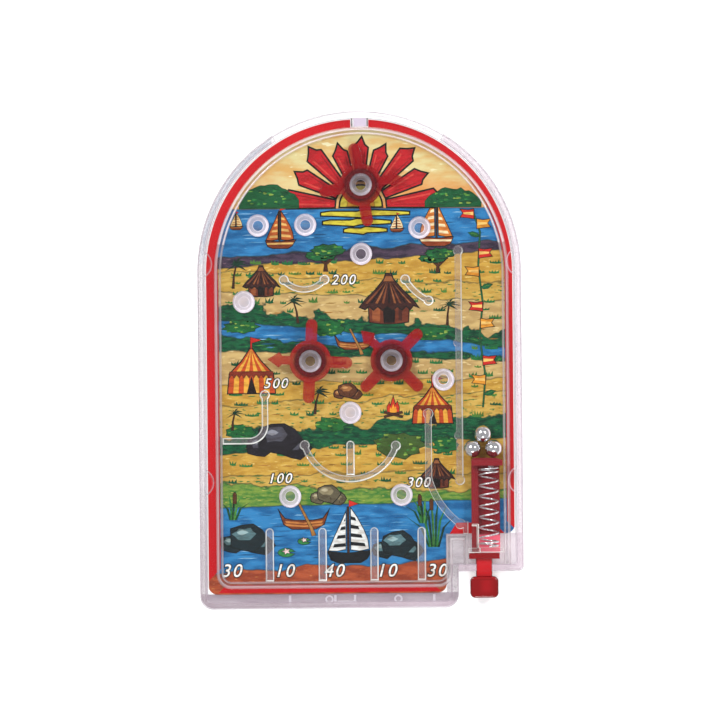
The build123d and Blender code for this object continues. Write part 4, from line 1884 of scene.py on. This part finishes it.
    def hut(self, spot: Point, size: float) -> None:
        """A round hut with a thatched roof.

        Args:
            spot: The middle of its foot.
            size: Half its roof's width.
        """
        shapes: list[Shape] = [
            ([(-0.72, 0.0), (-0.76, 0.72), (0.76, 0.72), (0.72, 0.0), (0.3, -0.06), (-0.3, -0.06)],
             "#6b3320", 5, 0.3),
            ([(-0.62, 0.04), (-0.64, 0.6), (-0.32, 0.6), (-0.34, 0.0)], "#96532f", 6, 0.0),
            ([(0.36, 0.04), (0.36, 0.58), (0.5, 0.58), (0.5, 0.04)], "#452016", 6, 0.0),
            ([(-0.2, -0.04), (-0.22, 0.4), (-0.08, 0.56), (0.12, 0.56), (0.24, 0.4), (0.22, -0.04)],
             "#150d0b", 6, 0.0),
            ([(-1.08, 0.56), (-0.86, 0.84), (-0.5, 1.18), (-0.16, 1.6), (-0.1, 1.8), (0.1, 1.8), (0.16, 1.6),
              (0.52, 1.18), (0.88, 0.84), (1.08, 0.56), (0.92, 0.62), (0.8, 0.47), (0.66, 0.61), (0.5, 0.46),
              (0.32, 0.6), (0.14, 0.44), (-0.06, 0.59), (-0.24, 0.45), (-0.42, 0.6), (-0.58, 0.46), (-0.74, 0.6),
              (-0.9, 0.48)], "#3a1d18", 8, 0.3),
            ([(-0.2, 1.52), (-0.1, 1.72), (0.1, 1.72), (0.2, 1.52)], "#8f5630", 10, 0.0),
        ]
        for index, lean in enumerate((-0.84, -0.66, -0.46, -0.22, 0.02, 0.24, 0.44, 0.64, 0.82)):
            thatch = [(0.14 * lean, 1.5), (0.6 * lean - 0.03, 1.06), (lean - 0.05, 0.7), (lean + 0.04, 0.68),
                      (0.6 * lean + 0.03, 1.04)]
            shapes.append((thatch, self.THATCH[index % 3], 9, 0.0))
        self.figure(shapes, spot, size, size, min(1.0, size / 4))

    def tent(self, spot: Point, wide: float, high: float, colours: Sequence[str]) -> None:
        """A round tent with striped cloth and a flag.

        Args:
            spot: The middle of its foot.
            wide: Its width.
            high: Its height without the flag.
            colours: The two colours of the cloth and the colour of its edge.
        """
        x, y = spot
        count = 9
        body = [(-0.5, 0.0), (-0.46, 0.42), (-0.2, 0.7), (0.0, 1.0), (0.2, 0.7), (0.46, 0.42), (0.5, 0.0)]
        shapes: list[Shape] = [(body, colours[0], 6, 0.32)]
        for step in range(1, count, 2):
            left = -0.5 + step / count
            right = left + 1 / count
            stripe = [(left, 0.0), (0.92 * left, 0.42), (0.4 * left, 0.7), (0.02 * left, 0.96),
                      (0.02 * right, 0.96), (0.4 * right, 0.7), (0.92 * right, 0.42), (right, 0.0)]
            shapes.append((stripe, colours[1], 7, 0.0))
        hem = [(0.94 * step / (2 * count) - 0.47, 0.41 if step % 2 else 0.34) for step in range(2 * count + 1)]
        shapes.append((hem + [(0.46, 0.47), (-0.46, 0.47)], colours[2], 9, 0.12))
        self.figure(shapes, spot, wide, high)
        self.press.patch([(x - wide * 0.1, y - 0.05), (x - 0.1, y + high * 0.36), (x + 0.1, y + high * 0.36),
                          (x + wide * 0.11, y - 0.05)], "#1d0f0c", 8)
        flag = [(-0.15, -0.3), (-0.15, 2.9), (2.8, 2.1), (0.2, 1.3), (0.2, -0.3)]
        self.press.patch(moved(flag, (x, y + high)), "#c1261c", 11, 0.16)

    def boulders(self, spot: Point, size: float, shades: Sequence[str]) -> None:
        """A heap of three boulders with lit tops.

        Args:
            spot: The middle of the heap.
            size: The reach of its middle stone, nearly.
            shades: The colours of the stone, its top and the gleam on it.
        """
        for x, y, scale, level in ((-0.75, 0.0, 0.62, 3), (0.72, -0.08, 0.66, 3), (0.0, 0.3, 0.95, 7)):
            reach = scale * size
            middle = (spot[0] + x * size, spot[1] + y * size)
            top = (middle[0] - 0.14 * reach, middle[1] + 0.2 * reach)
            gleam = (top[0] - 0.12 * reach, top[1] + 0.08 * reach)
            heaps = ((middle, 1.0, 0.74, 5, 0.13, 0.24), (top, 0.62, 0.36, 6, 0.2, 0.0),
                     (gleam, 0.3, 0.14, 4, 0.2, 0.0))
            for rise, (centre, wide, high, bumps, dip, line) in enumerate(heaps):
                heap = self.bumpy(centre, wide * reach, high * reach, bumps, dip)
                self.press.patch(heap, shades[rise], level + rise, line)
            for turn in (-60.0, -115.0):
                start = polar(middle, 0.35 * reach, turn)
                end = polar(middle, 0.8 * reach, turn - 14.0, 0.74)
                self.press.patch([(start[0] - 0.1, start[1]), (start[0] + 0.12, start[1]), end], DARK, level + 1)

    def fire(self, spot: Point, size: float) -> None:
        """A camp fire on two logs.

        Args:
            spot: The middle of its foot.
            size: Half its width.
        """
        flame = [(-0.6, 0.1), (-0.62, 0.7), (-0.4, 1.1), (-0.32, 0.7), (0.0, 1.7), (0.2, 0.9), (0.42, 1.2),
                 (0.6, 0.6), (0.55, 0.1)]
        log = [(-0.98, -0.24), (0.88, 0.24), (0.95, 0.04), (-0.9, -0.42)]
        self.press.patch(moved(flame, spot, size, size), "#c5331a", 4, 0.18)
        self.press.patch(moved(flame, (spot[0], spot[1] + 0.1), size * 0.58, size * 0.58), "#e59a2e", 5)
        for wide, level in ((size, 6), (-size, 8)):
            self.press.patch(moved(log, spot, wide, size), "#4b2b18", level, 0.12)

    def pennants(self, points: Sequence[Point]) -> None:
        """A cord hung with flags and leaves down the launch lane.

        Args:
            points: The cord's bends.
        """
        leaf: list[Shape] = [
            ([(0.0, 0.0), (0.8, 0.9), (2.0, 1.3), (3.3, 1.0), (2.3, 0.0), (1.0, -0.3)], "#125b33", 5, 0.1),
            ([(0.3, 0.1), (1.6, 0.7), (2.9, 0.9), (1.6, 0.55)], "#5d9438", 6, 0.0),
        ]
        flag = [(0.0, 1.3), (1.6, 1.0), (3.9, 1.25), (3.1, 0.1), (3.9, -1.0), (1.8, -1.2), (0.0, -1.5)]
        stripe = [(0.1, 0.5), (1.8, 0.4), (3.1, 0.3), (3.0, -0.2), (1.8, -0.35), (0.1, -0.5)]
        cord = moved(points, (-0.22, 0.0)) + moved(reversed(points), (0.22, 0.0))
        self.press.patch(cord, "#1d5a34", 3, 0.08)
        steps = [(start, end, part) for start, end in zip(points, points[1:]) for part in (0.12, 0.6)]
        for index, (start, end, part) in enumerate(steps):
            spot = (start[0] + (end[0] - start[0]) * part, start[1] + (end[1] - start[1]) * part)
            side = 1.0 if index % 2 else -1.0
            if index % 3 == 2:
                self.figure(leaf, spot, side, 1.0)
            else:
                colour = ("#c1261c", "#d9902c")[index % 3]
                self.figure([(flag, colour, 5, 0.2), (stripe, "#eec26a", 6, 0.0)], spot, 0.95 * side, 0.95)

    def reeds(self, spot: Point, high: float, lean: float, blades: int = 7) -> None:
        """A fan of reeds with a brown head.

        Args:
            spot: The middle of its foot.
            high: Its height.
            lean: How far it leans to the right, from -1 to 1.
            blades: The number of its leaves.
        """
        x, y = spot
        half = (blades - 1) / 2
        for step in range(blades):
            side = (step - half) / half
            tip = (x + (0.34 * lean + 0.5 * side) * high, y + high * (1.0 - 0.38 * side * side))
            foot = x + side * 0.09 * high
            bend, rise = foot + (tip[0] - foot) * 0.3, y + 0.6 * (tip[1] - y)
            self.press.patch([(foot - 0.3, y), (bend - 0.34, rise), tip, (bend + 0.34, rise), (foot + 0.3, y)],
                             self.REED[step % 4], 4 + step)
        top, rise = x + 0.2 * lean * high, y + 0.92 * high
        self.press.patch([(x - 0.12, y), (top - 0.12, rise - 3.2), (top + 0.12, rise - 3.2), (x + 0.12, y)],
                         "#2b5a2c", 12)
        head = [(-0.45, -3.2), (-0.5, -0.6), (-0.12, 0.0), (0.12, 0.0), (0.5, -0.6), (0.45, -3.2)]
        self.press.patch(moved(head, (top, rise)), "#54301a", 12, 0.12)

    def lily(self, spot: Point, size: float) -> None:
        """A lily pad with a flower.

        Args:
            spot: Its middle.
            size: Half its width.
        """
        pad = [polar(spot, size, 20.0 + 32.0 * step, 0.5) for step in range(11)] + [spot]
        self.press.patch(pad, "#2f8042", line=0.16)
        bloom = [polar((spot[0], spot[1] + 0.4), size * (0.5 if step % 2 else 0.22), 36.0 * step, 0.8)
                 for step in range(10)]
        self.press.patch(bloom, "#f0d3d2", 5, 0.12)

    def scores(self) -> None:
        """The scores beside the guides and in the pockets."""
        for text, x, y, size in (
                ("200", -4.6, 22.6, 4.0), ("500", -24.2, -6.8, 4.0), ("100", -23.3, -33.9, 4.0),
                ("300", 16.2, -35.4, 4.0), ("30", -37.3, -60.2, 5.2), ("10", -22.3, -60.3, 5.2),
                ("40", -8.1, -60.4, 5.2), ("10", 6.9, -60.5, 5.2), ("30", 21.2, -60.6, 5.2)):
            self.press.number(text, (x, y), size)

    def build(self, material: bpy.types.Material) -> None:
        """Print the whole picture.

        Args:
            material: The printing ink.
        """
        self.sky()
        self.upper_field()
        self.lower_field()
        self.shore()
        self.pennants([(32.6, 42.0), (34.6, 36.0), (34.0, 26.0), (35.2, 16.0), (34.2, 6.0), (35.8, -5.0),
                       (35.0, -14.0)])
        self.scores()
        printed = self.press.finish("card_print", material)
        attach(printed, "case")
        report(printed)

    def sky(self) -> None:
        """The sun, the hills on both sides and the boats on the far lake."""
        self.sun((0.7, 43.6))
        self.hill(-34.0, -17.0, 43.2, 50.0)
        self.hill(19.0, 35.0, 43.2, 48.6)
        self.gleams((0.7, 43.6))
        self.ripples(-37.0, 37.0, 33.6, 42.4)
        self.sailboat((-22.6, 33.6), 3.9, "#7a3618", "#b85a26", "#e3b566")
        self.sailboat((22.2, 34.2), 4.6, "#8c3d1b", "#cf7a30", "#f0dcae", mirror=True)
        self.sailboat((-35.0, 38.0), 1.7, "#5c2b18", "#e0c78a", "#b06a34")
        self.sailboat((10.8, 37.0), 1.8, "#5c2b18", "#e6d3a2", "#a8532a")

    def upper_field(self) -> None:
        """The trees and huts between the lake and the pond."""
        self.meadow(-38.5, 26.5, 12.5, 29.0)
        self.meadow(30.6, 39.5, -17.0, 29.0, 0.5)
        self.broad_tree((-9.6, 25.2), 4.0)
        self.broad_tree((22.4, 24.6), 3.6)
        self.palm((-36.0, 20.5), 7.0, 0.15)
        self.palm((-17.6, 10.5), 6.4, -0.2)
        self.palm((25.0, 9.5), 6.0, 0.1)
        self.hut((8.4, 10.6), 7.6)
        self.hut((-28.0, 18.5), 4.6)
        self.bush((-34.0, 9.6), 5.4, 2.0)
        self.bush((20.0, 7.2), 5.6, 2.2)
        self.bush((-8.8, 9.0), 5.0, 2.6)
        self.ripples(-30.0, 24.0, 3.6, 7.4)
        self.canoe((-1.6, 4.6), 4.4, "#8a4420", "#c98a4a")

    def lower_field(self) -> None:
        """The tents, boulders and bushes between the pond and the water."""
        self.meadow(-38.5, 26.5, -16.5, 0.6)
        self.meadow(-38.5, 27.0, -36.0, -23.0)
        self.tent((-31.0, -9.4), 13.4, 13.0, ("#bf4a1c", "#e2a63c", "#7c2a14"))
        self.tent((20.6, -18.4), 11.4, 10.6, ("#b8431a", "#e0a33a", "#74260f"))
        self.palm((-13.0, -15.5), 6.4, 0.2)
        self.palm((-36.6, -20.0), 5.0, 0.15)
        self.fire((9.4, -15.6), 2.8)
        self.boulders((-3.6, -9.8), 3.0, ("#5e3620", "#a06a3c", "#d8a468"))
        self.boulders((-23.6, -24.6), 6.8, ("#1e1c22", "#4a4a54", "#8a8c96"))
        self.bush((-34.4, -20.6), 4.4, 2.4)
        self.bush((-8.4, -18.6), 5.0, 2.2, "#226a30")
        self.bush((11.2, -24.6), 7.6, 3.8, "#3f5a26")
        self.bush((24.2, -24.6), 4.0, 2.6)
        self.boulders((-9.4, -39.4), 3.8, ("#5a5340", "#8a8062", "#b5ab8c"))
        self.hut((21.6, -36.6), 4.4)

    def shore(self) -> None:
        """The boats, reeds and lilies at the near water."""
        self.ripples(-38.0, 16.0, -56.5, -43.0)
        self.canoe((-16.4, -46.0), 5.6, "#7b3c1e", "#c07a3c")
        self.sailboat((-3.8, -55.4), 5.8, "#14181b", "#e2e5e3", "#14181b")
        self.boulders((-32.6, -52.4), 5.8, ("#16262b", "#54747a", "#93aeb0"))
        self.boulders((10.2, -54.4), 5.4, ("#16262b", "#587a80", "#93b0b2"))
        self.reeds((20.6, -53.8), 15.0, -0.2)
        self.reeds((17.6, -47.0), 9.0, -0.5, 5)
        self.reeds((-36.6, -45.6), 8.6, 0.3, 5)
        self.lily((-21.5, -55.0), 2.4)
        self.lily((-16.4, -51.8), 1.8)


def main() -> None:
    """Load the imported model, dress it and add what the CAD leaves to the looks."""
    logging.basicConfig(level=logging.INFO, format="%(name)s: %(message)s")
    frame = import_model()
    bpy.ops.object.select_all(action="DESELECT")
    Studio().build()
    shells = {"base_tray": TrayPlastic(tint="#d8ced6", grey="#9b8a96").material("clear_tray"),
              "top_cover": CoverPlastic(tint="#d8ced6", grey="#a8989f").material("clear_cover")}
    # The walls, posts and ring carry a painted glow on their milky parts.
    walls = ClearPlastic(tint="#f6f8f4", body=0.008, edge=0.6, glow=0.25, vary=1.3).material("clear_walls")
    posts = ClearPlastic(tint="#f1e9f3", body=0.01, edge=0.6, glow=0.1).material("clear_posts")
    posts_at = [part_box(f"spinner_post_{spot}") for spot in ("top", "left", "right")]
    axes = [((low[0] + high[0]) / 2 / MM, (low[1] + high[1]) / 2 / MM) for low, high in posts_at]
    arms = SpinnerRed().material("red_spinner", axes)
    chrome = BrightSteel(0.05).material("ball_chrome")
    dress(frame["nodes"]["playfield_card"], CardPrint().material())
    for spot in ("top", "left", "right"):
        dress(frame["nodes"][f"ball_{spot}"], chrome)
    Shell().build(frame, shells)
    grips = [PlungerRed().material("plunger_trough", True), PlungerRed().material("plunger_grip", False)]
    RedParts().build(frame, grips, arms)
    ring = ClearPlastic(tint="#f8eef1", grey="#8a787e", body=0.008, edge=0.6, glow=0.2).material("clear_ring")
    HangingWalls().build(frame, walls, ring)
    HangingPosts().build(frame, posts)
    Spring().build(BrightSteel(0.3, drawn=True).material("spring_wire"))
    Picture().build(PrintInk().material())


if __name__ == "__main__":
    main()
